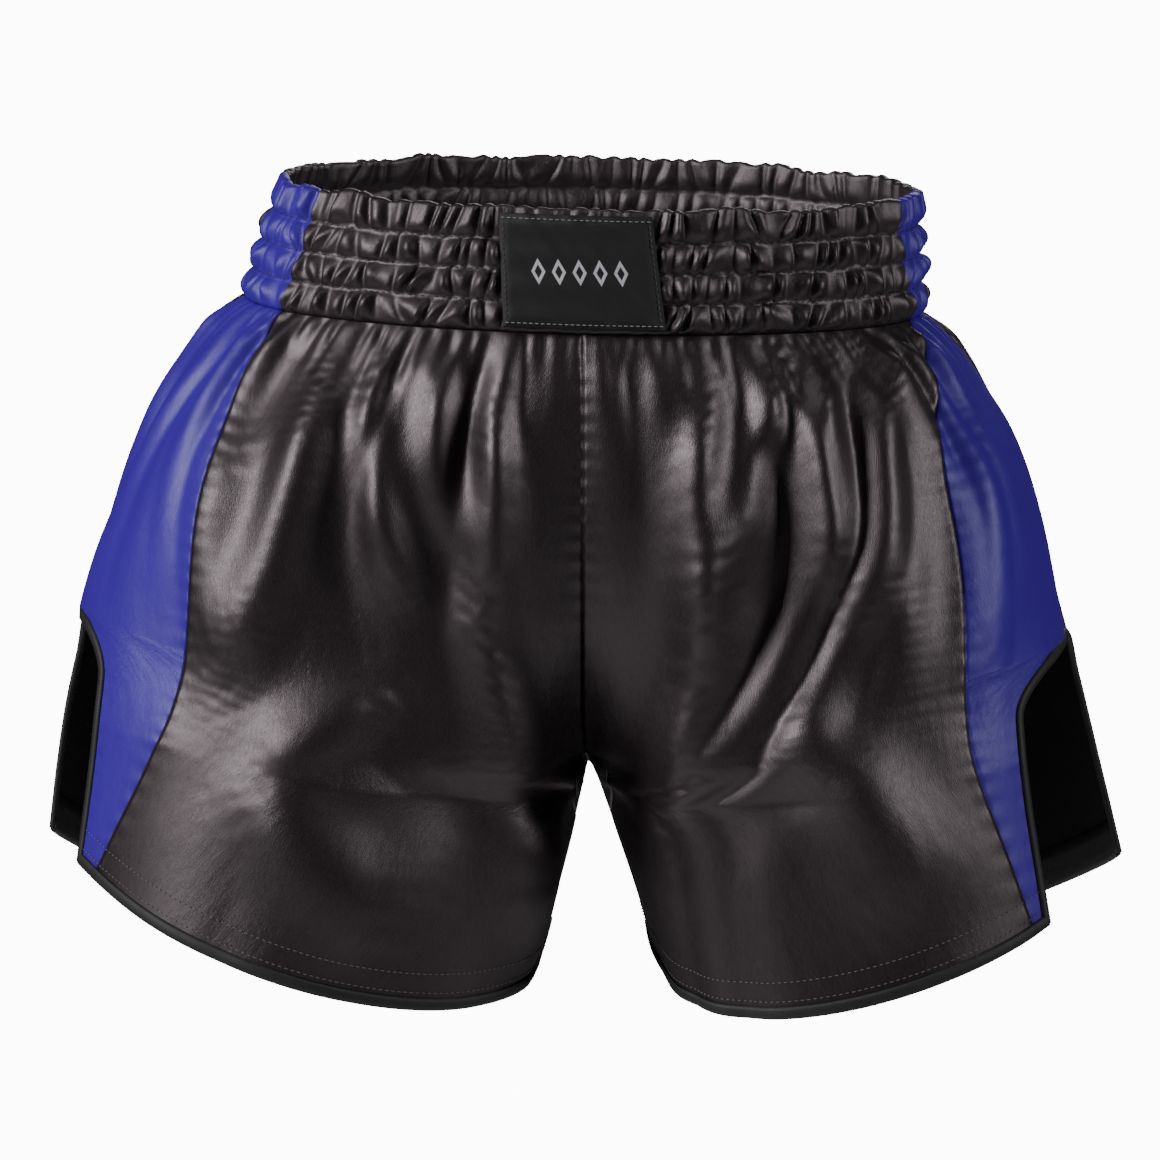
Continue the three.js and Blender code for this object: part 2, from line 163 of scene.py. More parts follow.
def half_drape(half, t, q):
    """Points of one half's front or back, at t across it: a cubic from the side to the centre."""
    down = np.clip(q, 0, 1)
    stretched = down + CURL * down**3
    crotch = CROTCH_AT + CURL * CROTCH_AT**3
    low = np.clip((stretched - crotch) / (1 + CURL - crotch), 0, 1)[:, None]
    inseam = np.array([INSEAM[0], INSEAM[1] - CROTCH_Y, -INSEAM[2]])
    p3 = half["rise"].at(np.clip(stretched / crotch, 0, 1)) + low * inseam
    p0 = SIDE_LINE.at(down)
    leg = ease(down, 0, CROTCH_AT)
    reach = (8 * half["deep"] * half["face"] - p0[:, 1] - p3[:, 1]) / 6
    dip = down**5
    p1 = np.stack([
        p0[:, 0], blend(ELLIPSE * p3[:, 1], reach, leg), p0[:, 2] - DIP_OUTER * dip,
    ], -1)
    p2 = np.stack([
        blend(ELLIPSE * p0[:, 0], p3[:, 0] + LEG_ROUND, ease(down, 0.3, CROTCH_AT + 0.1)),
        blend(p3[:, 1], reach, leg),
        p3[:, 2] - DIP_INNER * dip,
    ], -1)
    up = np.clip(-q, 0, 1)
    a = blend(WAIST_WIDE[1], WAIST_WIDE[0], up)
    b = blend(WAIST_DEEP[1], WAIST_DEEP[0], up) * half["face"]
    z = BAND_BOTTOM + up * BAND
    band = [
        np.stack(p, -1) for p in (
            (a, 0 * a, z), (a, ELLIPSE * b, z), (ELLIPSE * a, b, z), (0 * a, b, z),
        )
    ]
    in_band = (q < 0)[:, None]
    p0, p1, p2, p3 = (np.where(in_band, w, p) for w, p in zip(band, (p0, p1, p2, p3)))
    t = t[:, None]
    u = 1 - t
    return u**3 * p0 + 3 * u * u * t * p1 + 3 * u * t * t * p2 + t**3 * p3


def front_seam(side, q):
    q = np.asarray(q, float)
    top, waist, hip, hem = SEAM[side]
    above = blend(waist, hip, np.sin(np.clip(q / HIP_AT, 0, 1) * math.pi / 2))
    below = blend(hip, hem, np.clip((q - HIP_AT) / (1 - HIP_AT), 0, 1) ** 1.5)
    return np.where(q < 0, blend(waist, top, -q), np.where(q < HIP_AT, above, below))


def vent_edge(edge, q):
    drop = np.clip((VENT["base"] - q) / (VENT["base"] - VENT["apex"]), 0, 1)
    arch = VENT["back"] + (edge - VENT["back"]) * np.sqrt(1 - drop**2)
    return np.where(q <= VENT["apex"], VENT["back"], arch)


def gusset_edge(q):
    above = (q - GUSSET["top"]) / (CROTCH_AT - GUSSET["top"])
    below = (GUSSET["bottom"] - q) / (GUSSET["bottom"] - CROTCH_AT)
    return 1 - GUSSET["reach"] * np.clip(np.minimum(above, below), 0, 1)


# How far round the waist each s is from the centre front, in metres, on the wearer's left.
_S = np.linspace(-1, 1, 401)
_RING = drape(1, _S, np.full_like(_S, 0.0))
_STEPS = np.concatenate([[0], np.cumsum(np.linalg.norm(np.diff(_RING, axis=0), axis=1))])
HALF_ROUND = float(_STEPS[-1])


def round_waist(side, s):
    return side * (HALF_ROUND - np.interp(s, _S, _STEPS))


def waist_side(round_at):
    """The side and the s of places round the waist."""
    side = np.where(round_at < 0, -1, 1)
    return side, np.interp(HALF_ROUND - np.abs(round_at), _STEPS, _S)


# --- the cloth, as cut and gathered --------------------------------------------------------------

COLUMNS = {"front": 62, "side": 34, "back": 104, "gusset": 8}


def row_stops():
    """q of the rows: close together under the waistband, and one on each point of the cut."""
    spans = (
        (0, 0.06, 9), (0.06, 0.2, 15), (0.2, VENT["apex"], 38), (VENT["apex"], VENT["base"], 10),
        (VENT["base"], CROTCH_AT, 8), (CROTCH_AT, GUSSET["bottom"], 8), (GUSSET["bottom"], 1, 13),
    )
    rows = [np.linspace(a, b, n, endpoint=False) for a, b, n in spans]
    return np.concatenate(rows + [[1.0]])


def panel_s(side, kind, q):
    """The s of a panel's columns at each q: an array of rows by columns."""
    edges = {
        "front": (front_seam(side, q), gusset_edge(q)),
        "side": (vent_edge(VENT[side], q), front_seam(side, q)),
        "back": (-gusset_edge(q), vent_edge(VENT["rear"], q)),
    }[kind]
    across = np.linspace(0, 1, COLUMNS[kind] + 1)
    return blend(edges[0][:, None], edges[1][:, None], across[None, :])


class Cloth:
    """All the cut pieces as one welded sheet, each face knowing its piece and its place in it."""

    def __init__(self):
        self.grids = {}
        self.marks = []
        self.raw = []
        self.quads = []
        self.kinds = []
        self.grain = []
        rows = row_stops()
        for side in SIDES:
            for kind in ("front", "side", "back"):
                s = panel_s(side, kind, rows)
                q = np.broadcast_to(rows[:, None], s.shape)
                self.add(kind, side, s, q, drape(side, s, q), side, side < 0)
        self.add_gusset(rows)
        self.weld()

    def add(self, kind, label, s, q, places, side, flip):
        count, wide = s.shape
        first = sum(len(p) for p in self.raw)
        index = first + np.arange(count * wide).reshape(count, wide)
        self.grids[kind, label] = index
        self.raw.append(places.reshape(-1, 3))
        across = np.linalg.norm(np.diff(places, axis=1), axis=2)
        across = np.concatenate([np.zeros((count, 1)), np.cumsum(across, axis=1)], axis=1)
        down = np.broadcast_to(q, s.shape) * SIDE_LENGTH
        to_far_edge = across[:, -1:] - across
        facts = (side, s, q, across, to_far_edge, down)
        self.marks.append(np.stack([np.broadcast_to(f, s.shape).ravel() for f in facts], -1))
        quads = np.stack([index[:-1, :-1], index[:-1, 1:], index[1:, 1:], index[1:, :-1]], -1)
        quads = quads.reshape(-1, 4)
        if flip:
            quads = quads[:, ::-1]
        self.quads.append(quads)
        self.kinds += [(kind, label)] * len(quads)

    def add_gusset(self, rows):
        """A lozenge from the front seam through the crotch to the back seam."""
        inner = rows[(rows > GUSSET["top"] + 1e-6) & (rows < GUSSET["bottom"] - 1e-6)]
        edge_q = np.concatenate([[GUSSET["top"]], inner, [GUSSET["bottom"]]])
        t = (edge_q - GUSSET["top"]) / (GUSSET["bottom"] - GUSSET["top"])
        across = np.linspace(-1, 1, COLUMNS["gusset"] + 1)
        s = blend(1.0, gusset_edge(edge_q)[:, None], np.abs(across)[None, :])
        q = blend(blend(GUSSET["top"], CROTCH_AT, t)[:, None], edge_q[:, None], np.abs(across))
        for face in (1, -1):
            places = drape_both(across, face * s, q)
            self.add("gusset", face, face * s, q, places, np.where(across < 0, -1.0, 1.0), face > 0)

    def weld(self):
        raw = np.concatenate(self.raw)
        _, first, same = np.unique(
            np.round(raw, 6), axis=0, return_index=True, return_inverse=True
        )
        same = same.ravel()
        self.points = raw[first]
        self.marks = np.concatenate(self.marks)
        self.mark = self.marks[first]
        self.loops = np.concatenate(self.quads)
        self.faces = same[self.loops]
        self.same = same

    def mesh(self, name):
        made = bpy.data.meshes.new(name)
        made.from_pydata(self.points.tolist(), [], [drop_twins(f) for f in self.faces.tolist()])
        made.update()
        return made


def drop_twins(corners):
    """The corners of a face that closed up to a triangle, each once."""
    return [c for i, c in enumerate(corners) if c != corners[i - 1]]


def vertex_normals(points, faces):
    """Unit normals of a quad mesh, from its faces' diagonals."""
    turn = np.cross(
        points[faces[:, 2]] - points[faces[:, 0]], points[faces[:, 3]] - points[faces[:, 1]]
    )
    total = np.zeros_like(points)
    for k in range(4):
        np.add.at(total, faces[:, k], turn)
    return total / np.maximum(np.linalg.norm(total, axis=1, keepdims=True), 1e-12)


# Long folds of the front: points in front view (x, z), how wide and how high. Metres.
FOLDS = (
    (((-0.112, -0.04), (-0.135, -0.12), (-0.172, -0.215)), 0.013, 0.0115),
    (((-0.086, -0.04), (-0.096, -0.10), (-0.074, -0.17)), 0.009, 0.0085),
    (((-0.060, -0.04), (-0.066, -0.09), (-0.052, -0.15)), 0.008, 0.0070),
    (((-0.046, -0.05), (-0.042, -0.12), (-0.056, -0.19)), 0.010, 0.0100),
    (((-0.150, -0.07), (-0.168, -0.14), (-0.155, -0.20)), 0.013, 0.0060),
    (((0.054, -0.05), (0.046, -0.12), (0.052, -0.20)), 0.011, 0.0110),
    (((0.086, -0.04), (0.070, -0.10), (0.062, -0.155)), 0.010, 0.0085),
    (((0.108, -0.04), (0.100, -0.10), (0.122, -0.18)), 0.010, 0.0090),
    (((0.136, -0.04), (0.128, -0.11), (0.146, -0.22)), 0.013, 0.0100),
    (((0.164, -0.06), (0.176, -0.14), (0.165, -0.21)), 0.012, 0.0060),
    (((-0.075, -0.19), (-0.120, -0.21), (-0.165, -0.25)), 0.015, 0.0060),
    (((0.075, -0.20), (0.115, -0.23), (0.150, -0.29)), 0.018, 0.0065),
    (((-0.058, -0.13), (-0.041, -0.23), (-0.027, -0.33)), 0.012, 0.0095),
    (((0.054, -0.10), (0.050, -0.19), (0.031, -0.30)), 0.012, 0.0095),
    (((-0.165, -0.22), (-0.120, -0.27), (-0.060, -0.31)), 0.024, 0.0070),
    (((0.095, -0.21), (0.125, -0.26), (0.150, -0.31)), 0.024, 0.0060),
)


def fold_height(points, path, wide):
    """How far up a rounded fold along a bent line each point is, 0 to 1."""
    a, b, c = (np.array(p) for p in path)
    t = np.linspace(0, 1, 40)[:, None]
    line = (1 - t) ** 2 * a + 2 * (1 - t) * t * (2 * b - (a + c) / 2) + t**2 * c
    flat = points[:, [0, 2]]
    gap = np.linalg.norm(flat[:, None, :] - line[None], axis=2)
    near = gap.argmin(axis=1)
    along = near / (len(t) - 1)
    spread = wide * (0.7 + 0.8 * along)
    ends = ease(along, 0, 0.32) * (1 - ease(along, 0.62, 1.0))
    return np.exp(-((gap.min(axis=1) / spread) ** 2)) * ends


def smoothed(field, faces, times):
    """A value at each point, evened out over its neighbours."""
    share = np.bincount(faces.ravel(), minlength=len(field))[:, None]
    for _ in range(times):
        middle = field[faces].mean(axis=1)
        total = np.stack([
            np.bincount(faces.ravel(), np.repeat(middle[:, k], 4), minlength=len(field))
            for k in range(3)
        ], -1)
        field = total / np.maximum(share, 1)
    return field


# Below the waistband come small tucks, then pleats, then folds, then broad waves. Metres.
TUCK_DEPTH, PLEAT_DEPTH, WAVE_DEPTH = 0.0048, 0.0085, 0.006
PLEAT_PITCH, FOLD_PITCH = 0.0235, 0.047


def gather(cloth, sizes):
    """Pushes the flat cloth out into gathers below the waistband and long folds down the legs."""
    side, s, q = cloth.mark[:, 0], cloth.mark[:, 1], cloth.mark[:, 2]
    round_at = np.where(side > 0, round_waist(1, s), round_waist(-1, s))
    drop = q * SIDE_LENGTH
    even = smoothed(cloth.points, cloth.faces, 60)
    level = np.exp(-(((q - CROTCH_AT) / 0.07) ** 2)) * ease(np.abs(s), 0.25, 0.45)
    cloth.points = blend(cloth.points, even, (level * (1 - ease(np.abs(s), 0.93, 1)))[:, None])
    normals = vertex_normals(cloth.points, cloth.faces)
    open_side = 1 - ease(np.abs(s), 0.86, 1.0) * ease(q, 0.45, 0.62)

    fine = pleat(ridge_phase(round_at, ROWS, sizes.ridge_pitch)) - 0.45
    out = TUCK_DEPTH * fine * (1 - np.exp(-drop / 0.0025)) * np.exp(-drop / 0.015)
    second = pleat(round_at / PLEAT_PITCH + 0.45 * wander(round_at / 0.07, 11)) - 0.45
    uneven = 0.6 + 0.4 * wander(round_at / 0.05, 12)
    out += PLEAT_DEPTH * second * uneven * bump_of(drop, 0.003, 0.02, 0.075)
    third = pleat(round_at / FOLD_PITCH + 0.5 * wander(round_at / 0.13 + drop / 0.4, 21)) - 0.5
    uneven = 0.65 + 0.35 * wander(round_at / 0.1, 22)
    out += sizes.fold_depth * third * uneven * bump_of(drop, 0.012, 0.06, 0.22)
    broad = wander(round_at / 0.11 + 0.6 * drop / 0.26, 31)
    out += WAVE_DEPTH * broad * ease(drop, 0.05, 0.18)
    front = cloth.points[:, 1] < 0
    for path, wide, high in FOLDS:
        out[front] += high * fold_height(cloth.points[front], path, wide)
    cloth.points = cloth.points + normals * (out * open_side)[:, None]


def bump_of(x, start, top, end):
    """Rises from start to top and dies away past it."""
    return ease(x, start, top) * np.exp(-np.maximum(x - top, 0) / (end - top) * 1.2)


def ridge_phase(round_at, row, pitch):
    """Which ridge of the shirring a point is on: near one pitch apart, and never quite even."""
    count = round(2 * HALF_ROUND / pitch)
    turn = round_at / (2 * HALF_ROUND)
    loose = 0.0
    for k, (waves, strength) in enumerate(((23, 0.16), (37, 0.12), (9, 0.3), (61, 0.05))):
        loose = loose + strength * np.sin(TAU * (turn * waves + 0.37 * row * (k + 1) + 0.21 * k))
    return turn * count + loose


def settle(cloth, sizes):
    """Lets the gathered cloth hang: it is a little larger than its shape, so it creases."""
    shape = cloth.mesh("cloth_to_settle")
    piece = bpy.data.objects.new("cloth_to_settle", shape)
    bpy.context.scene.collection.objects.link(piece)
    held = piece.vertex_groups.new(name="held")
    q = cloth.mark[:, 2]
    grip = np.clip(1 - q / 0.02, 0, 1) + sizes.grip
    for i, weight in enumerate(np.clip(grip, 0, 1).tolist()):
        held.add([i], weight, "REPLACE")
    hang = piece.modifiers.new("hang", "CLOTH")
    cut = hang.settings
    cut.quality = 4
    cut.mass = 0.2
    cut.tension_stiffness = cut.compression_stiffness = 25
    cut.shear_stiffness = 8
    cut.bending_stiffness = sizes.bend
    cut.tension_damping = cut.compression_damping = 8
    cut.air_damping = 2
    cut.vertex_group_mass = "held"
    cut.pin_stiffness = 1.0
    cut.shrink_min = -sizes.ease_in_cloth
    cut.effector_weights.gravity = 0.12
    hang.collision_settings.use_collision = False
    stage = bpy.context.scene
    hang.point_cache.frame_start, hang.point_cache.frame_end = 1, sizes.frames
    for number in range(1, sizes.frames + 1):
        stage.frame_set(number)
    view = bpy.context.evaluated_depsgraph_get()
    hung = piece.evaluated_get(view)
    flat = np.empty(3 * len(hung.data.vertices))
    hung.data.vertices.foreach_get("co", flat)
    moved = smoothed(flat.reshape(-1, 3) - cloth.points, cloth.faces, sizes.calm)
    far = np.linalg.norm(moved, axis=1, keepdims=True)
    cloth.points = cloth.points + moved * np.minimum(1, sizes.most_move / np.maximum(far, 1e-9))
    bpy.data.objects.remove(piece)
    bpy.data.meshes.remove(shape)
    stage.frame_set(1)


# --- pieces from the cloth -----------------------------------------------------------------------

def new_piece(name, points, faces, materials, uv=None, seams=None, smooth=True):
    """A mesh object with its place in its mesh; uv and seams hold two numbers per face corner."""
    made = bpy.data.meshes.new(name)
    made.from_pydata(np.asarray(points).tolist(), [], [drop_twins(list(f)) for f in faces])
    for layer, values in (("grain", uv), ("seams", seams)):
        if values is not None:
            flat = made.uv_layers.new(name=layer)
            flat.data.foreach_set("uv", np.asarray(values, float).ravel())
    for material in materials:
        made.materials.append(material)
    if smooth:
        made.shade_smooth()
    piece = bpy.data.objects.new(name, made)
    bpy.context.scene.collection.objects.link(piece)
    return piece


def finish_shape(piece):
    """Applies the piece's modifiers, so that it is a plain mesh."""
    view = bpy.context.evaluated_depsgraph_get()
    shape = bpy.data.meshes.new_from_object(
        piece.evaluated_get(view), preserve_all_data_layers=True, depsgraph=view
    )
    piece.modifiers.clear()
    piece.data = shape
    shape.shade_smooth()
    return piece


def cut_piece(cloth, kind, labels, name, materials, thick):
    """One cut piece of the settled cloth, with its grain and its distance to its seams."""
    wanted = [cloth.grids[kind, label] for label in labels]
    inside = np.zeros(len(cloth.marks), bool)
    for index in wanted:
        inside[index.ravel()] = True
    pick = inside[cloth.loops].all(axis=1)
    faces, loops = cloth.faces[pick], cloth.loops[pick]
    used, faces = np.unique(faces, return_inverse=True)
    faces = faces.reshape(-1, 4)
    across, back, down = (cloth.marks[:, k] for k in (3, 4, 5))
    keep = [[i for i, c in enumerate(f) if c != f[i - 1]] for f in faces.tolist()]
    corner = np.concatenate([l[k] for l, k in zip(loops, keep)])
    grain = np.stack([across[corner], down[corner]], -1)
    near = np.stack([np.minimum(across, back)[corner], down[corner]], -1)
    piece = new_piece(name, cloth.points[used], faces, materials, grain, near)
    round_off = piece.modifiers.new("round", "SUBSURF")
    round_off.levels = round_off.render_levels = 1
    round_off.boundary_smooth = "PRESERVE_CORNERS"
    back_cloth = piece.modifiers.new("reverse", "SOLIDIFY")
    back_cloth.thickness = thick
    back_cloth.offset = -1
    back_cloth.material_offset = 1
    back_cloth.material_offset_rim = 0
    return finish_shape(piece)


# --- waistband -----------------------------------------------------------------------------------

LABEL_WIDE, LABEL_HIGH, LABEL_OUT = 0.071, 0.050, 0.0052


def label_at(height):
    """How far round the waist the label's middle is, at a height up the band."""
    return -0.0052 - 0.0125 * (height / BAND - 0.5)


def band_section():
    """The casing's cross-section, as rows of height up the band, puff, row and face."""
    steps = 9
    outside = []
    for row in range(ROWS):
        top = row == ROWS - 1
        for k in range(steps):
            rise = k / steps
            puff = math.sin(math.pi * rise) ** 0.75
            if top and rise > 0.5:
                puff = 1 - 0.25 * (2 * rise - 1)
            outside.append(((row + rise) * PITCH, puff, row, 1.0))
    roll = [(BAND, 0.75, ROWS - 1, math.cos(a)) for a in np.linspace(0, math.pi, 7)]
    inside = [(h, p, r, -1.0) for h, p, r, _ in reversed(outside)]
    return np.array(outside + roll + inside)


def waist_points(height, puff, row, face, round_at, sizes):
    """Places on the shirred casing, for arrays of the same shape."""
    side, s = waist_side(round_at)
    q = -height / BAND
    base = drape_both(side, s, q)
    step = side * TINY
    along = drape_both(side, s + step, q) - drape_both(side, s - step, q)
    along /= np.linalg.norm(along, axis=-1, keepdims=True)
    up = np.array([0.0, 0.0, 1.0])
    normal = np.cross(up, along)
    flip = np.sign((normal[..., :2] * base[..., :2]).sum(-1))[..., None]
    normal = normal * flip / np.linalg.norm(normal, axis=-1, keepdims=True)
    rise = height / PITCH - row
    phase = 0
    for number in range(ROWS):
        phase = phase + (row == number) * ridge_phase(round_at, number, sizes.ridge_pitch)
    phase = phase + 0.55 * (rise - 0.5) * wander(round_at / 0.04 + 3 * row, 41)
    ridge = pleat(phase)
    crimp = pleat(2.3 * phase + 0.6 * wander(round_at / 0.02 + 2.1 * row, 44)) - 0.5
    ridge = ridge + 0.22 * crimp * np.abs(2 * rise - 1)
    puff = puff * (0.4 + 0.6 * ease(
        np.abs(round_at - label_at(height)), LABEL_WIDE / 2 - 0.002, LABEL_WIDE / 2 + 0.004
    ))
    loose = 0.72 + 0.34 * wander(round_at / 0.024 + 5.3 * row, 42)
    outer = 0.0007 + puff * (0.0009 + sizes.puff * ridge * loose)
    inner = 0.0007 + puff * (0.0008 + 0.35 * sizes.puff * pleat(phase + 0.5))
    lean = np.clip(face, -1, 1)
    out = np.where(lean >= 0, lean * outer, lean * inner)
    lift = np.sqrt(np.maximum(0, 1 - lean**2)) * (0.0008 + 0.0012 * ridge)
    sway = 0.0011 * wander(round_at / 0.035 + 2 * row, 43)
    return base + normal * out[..., None] + up * (lift + sway * puff)[..., None]


def make_casing(sizes, materials):
    """The whole waistband: one shirred tube of cloth, blue over the side panels."""
    columns, profile = sizes.columns, band_section()
    count = len(profile)
    parts = [np.broadcast_to(profile[:, k][None, :], (columns, count)) for k in range(4)]
    round_at = np.linspace(-HALF_ROUND, HALF_ROUND, columns + 1)[:-1]
    places = waist_points(*parts, np.broadcast_to(round_at[:, None], parts[0].shape), sizes)
    index = np.arange(columns * count).reshape(columns, count)
    ahead, above = np.roll(index, -1, axis=0), np.roll(index, -1, axis=1)
    corner = np.roll(ahead, -1, axis=1)
    faces = np.stack([index, ahead, corner, above], -1).reshape(-1, 4)
    girth = np.linspace(0, 2 * HALF_ROUND, columns + 1)
    run = np.concatenate([[0], np.cumsum(np.abs(np.diff(profile[:, 0])) + 0.0004)])
    u = np.stack([girth[:-1], girth[1:], girth[1:], girth[:-1]], -1)[:, None, :]
    v_next = np.append(run[1:], run[-1] + 0.001)
    v = np.stack([run, run, v_next, v_next], -1)[None]
    grain = np.stack(np.broadcast_arrays(1.7 * u, v), -1).reshape(-1, 2)
    middle = (girth[:-1] + girth[1:]) / 2 - HALF_ROUND
    piece = new_piece("waist_casing", places.reshape(-1, 3), faces, materials, grain, grain * 0 + 1)
    side, s = waist_side(middle)
    q = -profile[:, 0] / BAND
    seam = np.where(side[:, None] < 0, front_seam(-1, q)[None], front_seam(1, q)[None])
    blue = (s[:, None] > VENT["back"]) & (s[:, None] < seam)
    piece.data.polygons.foreach_set("material_index", blue.ravel().astype(np.int32))
    return piece


def face_out(piece):
    """Turns a closed piece's faces outwards."""
    work = bmesh.new()
    work.from_mesh(piece.data)
    bmesh.ops.recalc_face_normals(work, faces=work.faces)
    if work.calc_volume(signed=True) < 0:
        bmesh.ops.reverse_faces(work, faces=work.faces)
    work.to_mesh(piece.data)
    work.free()
    return piece


def swept(name, places, materials, closed=False):
    """A closed piece from sections: an array of stations by points round the section."""
    places = np.asarray(places)
    stations, ring = places.shape[:2]
    index = np.arange(stations * ring).reshape(stations, ring)
    if closed:
        index = np.concatenate([index, index[:1]])
    following = np.roll(index, -1, axis=1)
    faces = np.stack([index[:-1], index[1:], following[1:], following[:-1]], -1)
    faces = faces.reshape(-1, 4).tolist()
    run = np.linalg.norm(np.diff(places[:, 0], axis=0), axis=1)
    run = np.concatenate([[0], np.cumsum(run), [run.sum() + run[-1]]])
    turn = np.linalg.norm(np.roll(places[0], -1, axis=0) - places[0], axis=1)
    turn = np.concatenate([[0], np.cumsum(turn)])
    grain = []
    for k in range(len(index) - 1):
        for j in range(ring):
            grain += [(run[k], turn[j]), (run[k + 1], turn[j]),
                      (run[k + 1], turn[j + 1]), (run[k], turn[j + 1])]
    if not closed:
        for cap in (index[0].tolist(), index[-1][::-1].tolist()):
            faces.append(cap)
            grain += [(0.0, 0.0)] * ring
    piece = new_piece(name, places.reshape(-1, 3), faces, materials, grain, np.ones((len(grain), 2)))
    return face_out(piece)


# --- edges: vent bindings and hem bands ----------------------------------------------------------

def settled_grid(cloth, kind, side):
    return cloth.points[cloth.same[cloth.grids[kind, side]]]


def cut_size(cloth, kind, label):
    """The size a piece is cut to: its widest row by its longest column, and its area.

    The gusset's length is taken down its middle, where it is shorter than its edges.
    """
    grid = settled_grid(cloth, kind, label)
    wide = np.linalg.norm(np.diff(grid, axis=1), axis=2).sum(1).max()
    columns = np.linalg.norm(np.diff(grid, axis=0), axis=2).sum(0)
    tall = columns.min() if kind == "gusset" else columns.max()
    corners = np.cross(grid[1:, 1:] - grid[:-1, :-1], grid[1:, :-1] - grid[:-1, 1:])
    return (float(wide), float(tall)), float(np.linalg.norm(corners, axis=2).sum() / 2)


def unit(v):
    return v / np.maximum(np.linalg.norm(v, axis=-1, keepdims=True), 1e-12)


def grid_normals(grid, side):
    """Outward normals of a panel's grid of rows and columns."""
    return unit(side * np.cross(np.gradient(grid, axis=1), np.gradient(grid, axis=0)))


def from_edge(lines, distance):
    """The place this far along each line from its first point, and past it where negative."""
    steps = np.linalg.norm(np.diff(lines, axis=0), axis=2)
    run = np.concatenate([np.zeros((1, lines.shape[1])), np.cumsum(steps, axis=0)])
    found = np.empty(lines.shape[1:])
    for j in range(lines.shape[1]):
        for k in range(3):
            found[j, k] = np.interp(distance, run[:, j], lines[:, j, k])
    if distance < 0:
        found += unit(lines[0] - lines[1]) * -distance
    return found


HEM_SECTION = (
    (0.0045, 0.0003), (0.0044, 0.0009), (0.003, 0.0013), (0.001, 0.0014), (-0.0007, 0.0010),
    (-0.0013, -0.0001), (-0.0008, -0.0013), (0.001, -0.0017), (0.005, -0.0015), (0.011, -0.0014),
    (0.0165, -0.0013), (0.0166, -0.0008), (0.009, -0.0008), (0.001, -0.0008), (-0.0003, -0.0003),
    (0.001, 0.0002),
)


def hem_band(name, grids, side, start, stop, material):
    """The rolled edge and the facing behind it, which follow the cloth they are sewn to."""
    lines = np.concatenate(grids, axis=1)[::-1][:16]
    normals = -grid_normals(lines, side)
    lines, normals = lines[:, start:stop], normals[:, start:stop]
    places = np.stack([
        from_edge(lines, beyond) + out * from_edge_normal(normals, lines, beyond)
        for beyond, out in HEM_SECTION
    ], axis=1)
    return swept(name, places, [material])


def from_edge_normal(normals, lines, distance):
    steps = np.linalg.norm(np.diff(lines, axis=0), axis=2)
    run = np.concatenate([np.zeros((1, lines.shape[1])), np.cumsum(steps, axis=0)])
    near = np.abs(run - distance).argmin(axis=0)
    return normals[near, np.arange(lines.shape[1])]


BINDING_SECTION = (
    (-0.0036, 0.0002), (-0.0034, 0.0010), (-0.0012, 0.0014), (0.0006, 0.0010), (0.0012, -0.0002),
    (0.0006, -0.0014), (-0.0012, -0.0018), (-0.0034, -0.0014), (-0.0036, -0.0006),
)


def vent_path(cloth, side):
    """The vent's edge from the front hem over its arch to the back hem, with its normals."""
    rows = row_stops()
    open_rows = np.nonzero(rows >= VENT["apex"] - 1e-9)[0]
    front, back = settled_grid(cloth, "side", side), settled_grid(cloth, "back", side)
    front_n, back_n = grid_normals(front, side), grid_normals(back, side)
    path = np.concatenate([front[open_rows, 0][::-1], back[open_rows, -1][1:]])
    normals = np.concatenate([front_n[open_rows, 0][::-1], back_n[open_rows, -1][1:]])
    for _ in range(3):
        normals[1:-1] = unit(normals[:-2] + normals[1:-1] + normals[2:])
    return path, normals


def vent_binding(cloth, side, material):
    path, normals = vent_path(cloth, side)
    along = unit(np.gradient(path, axis=0))
    beyond = unit(np.cross(along, normals)) * side
    places = np.stack([path + b * beyond + o * normals for b, o in BINDING_SECTION], axis=1)
    return swept(f"vent_tape_{SIDES[side]}", places, [material])


# --- label, elastics -----------------------------------------------------------------------------

def on_waist(round_at, height, out):
    """A place out from the middle of the waistband's cloth."""
    round_at, height = np.broadcast_arrays(round_at, height)
    side, s = waist_side(round_at)
    q = -height / BAND
    back = drape_both(side, s + TINY, q) - drape_both(side, s - TINY, q)
    up = drape_both(side, s, q - TINY) - drape_both(side, s, q + TINY)
    normal = unit(np.cross(-side[..., None] * back, up))
    return drape_both(side, s, q) + normal * np.asarray(out)[..., None]


def label_places(across, height, out):
    return on_waist(across + label_at(height), height, out)


def make_label(material):
    across = np.linspace(-0.5, 0.5, 57)
    up = np.linspace(-0.5, 0.5, 41)
    x, z = np.meshgrid(across, up)
    height = BAND / 2 + z * LABEL_HIGH
    edge = np.minimum(0.5 - np.abs(x), (0.5 - np.abs(z)) * LABEL_HIGH / LABEL_WIDE) * LABEL_WIDE
    rows = np.sin(np.pi * height / PITCH) ** 2
    out = LABEL_OUT + 0.0005 * rows * ease(edge, 0.0, 0.006) - 0.0012 * (1 - ease(edge, 0, 0.004))
    out = out + 0.0003 * wander(x * 6 + z * 3, 51)
    places = label_places(x * LABEL_WIDE, height, out)
    rows_n, wide = x.shape
    index = np.arange(x.size).reshape(rows_n, wide)
    faces = np.stack([index[:-1, :-1], index[:-1, 1:], index[1:, 1:], index[1:, :-1]], -1)
    faces = faces.reshape(-1, 4)
    grain = np.stack([x.ravel()[faces] * LABEL_WIDE, z.ravel()[faces] * LABEL_HIGH], -1)
    piece = new_piece("label_patch", places.reshape(-1, 3), faces, [material],
                      grain.reshape(-1, 2), grain.reshape(-1, 2) * 0 + 1)
    wall = piece.modifiers.new("wall", "SOLIDIFY")
    wall.thickness, wall.offset = 0.0008, -1
    return finish_shape(piece)


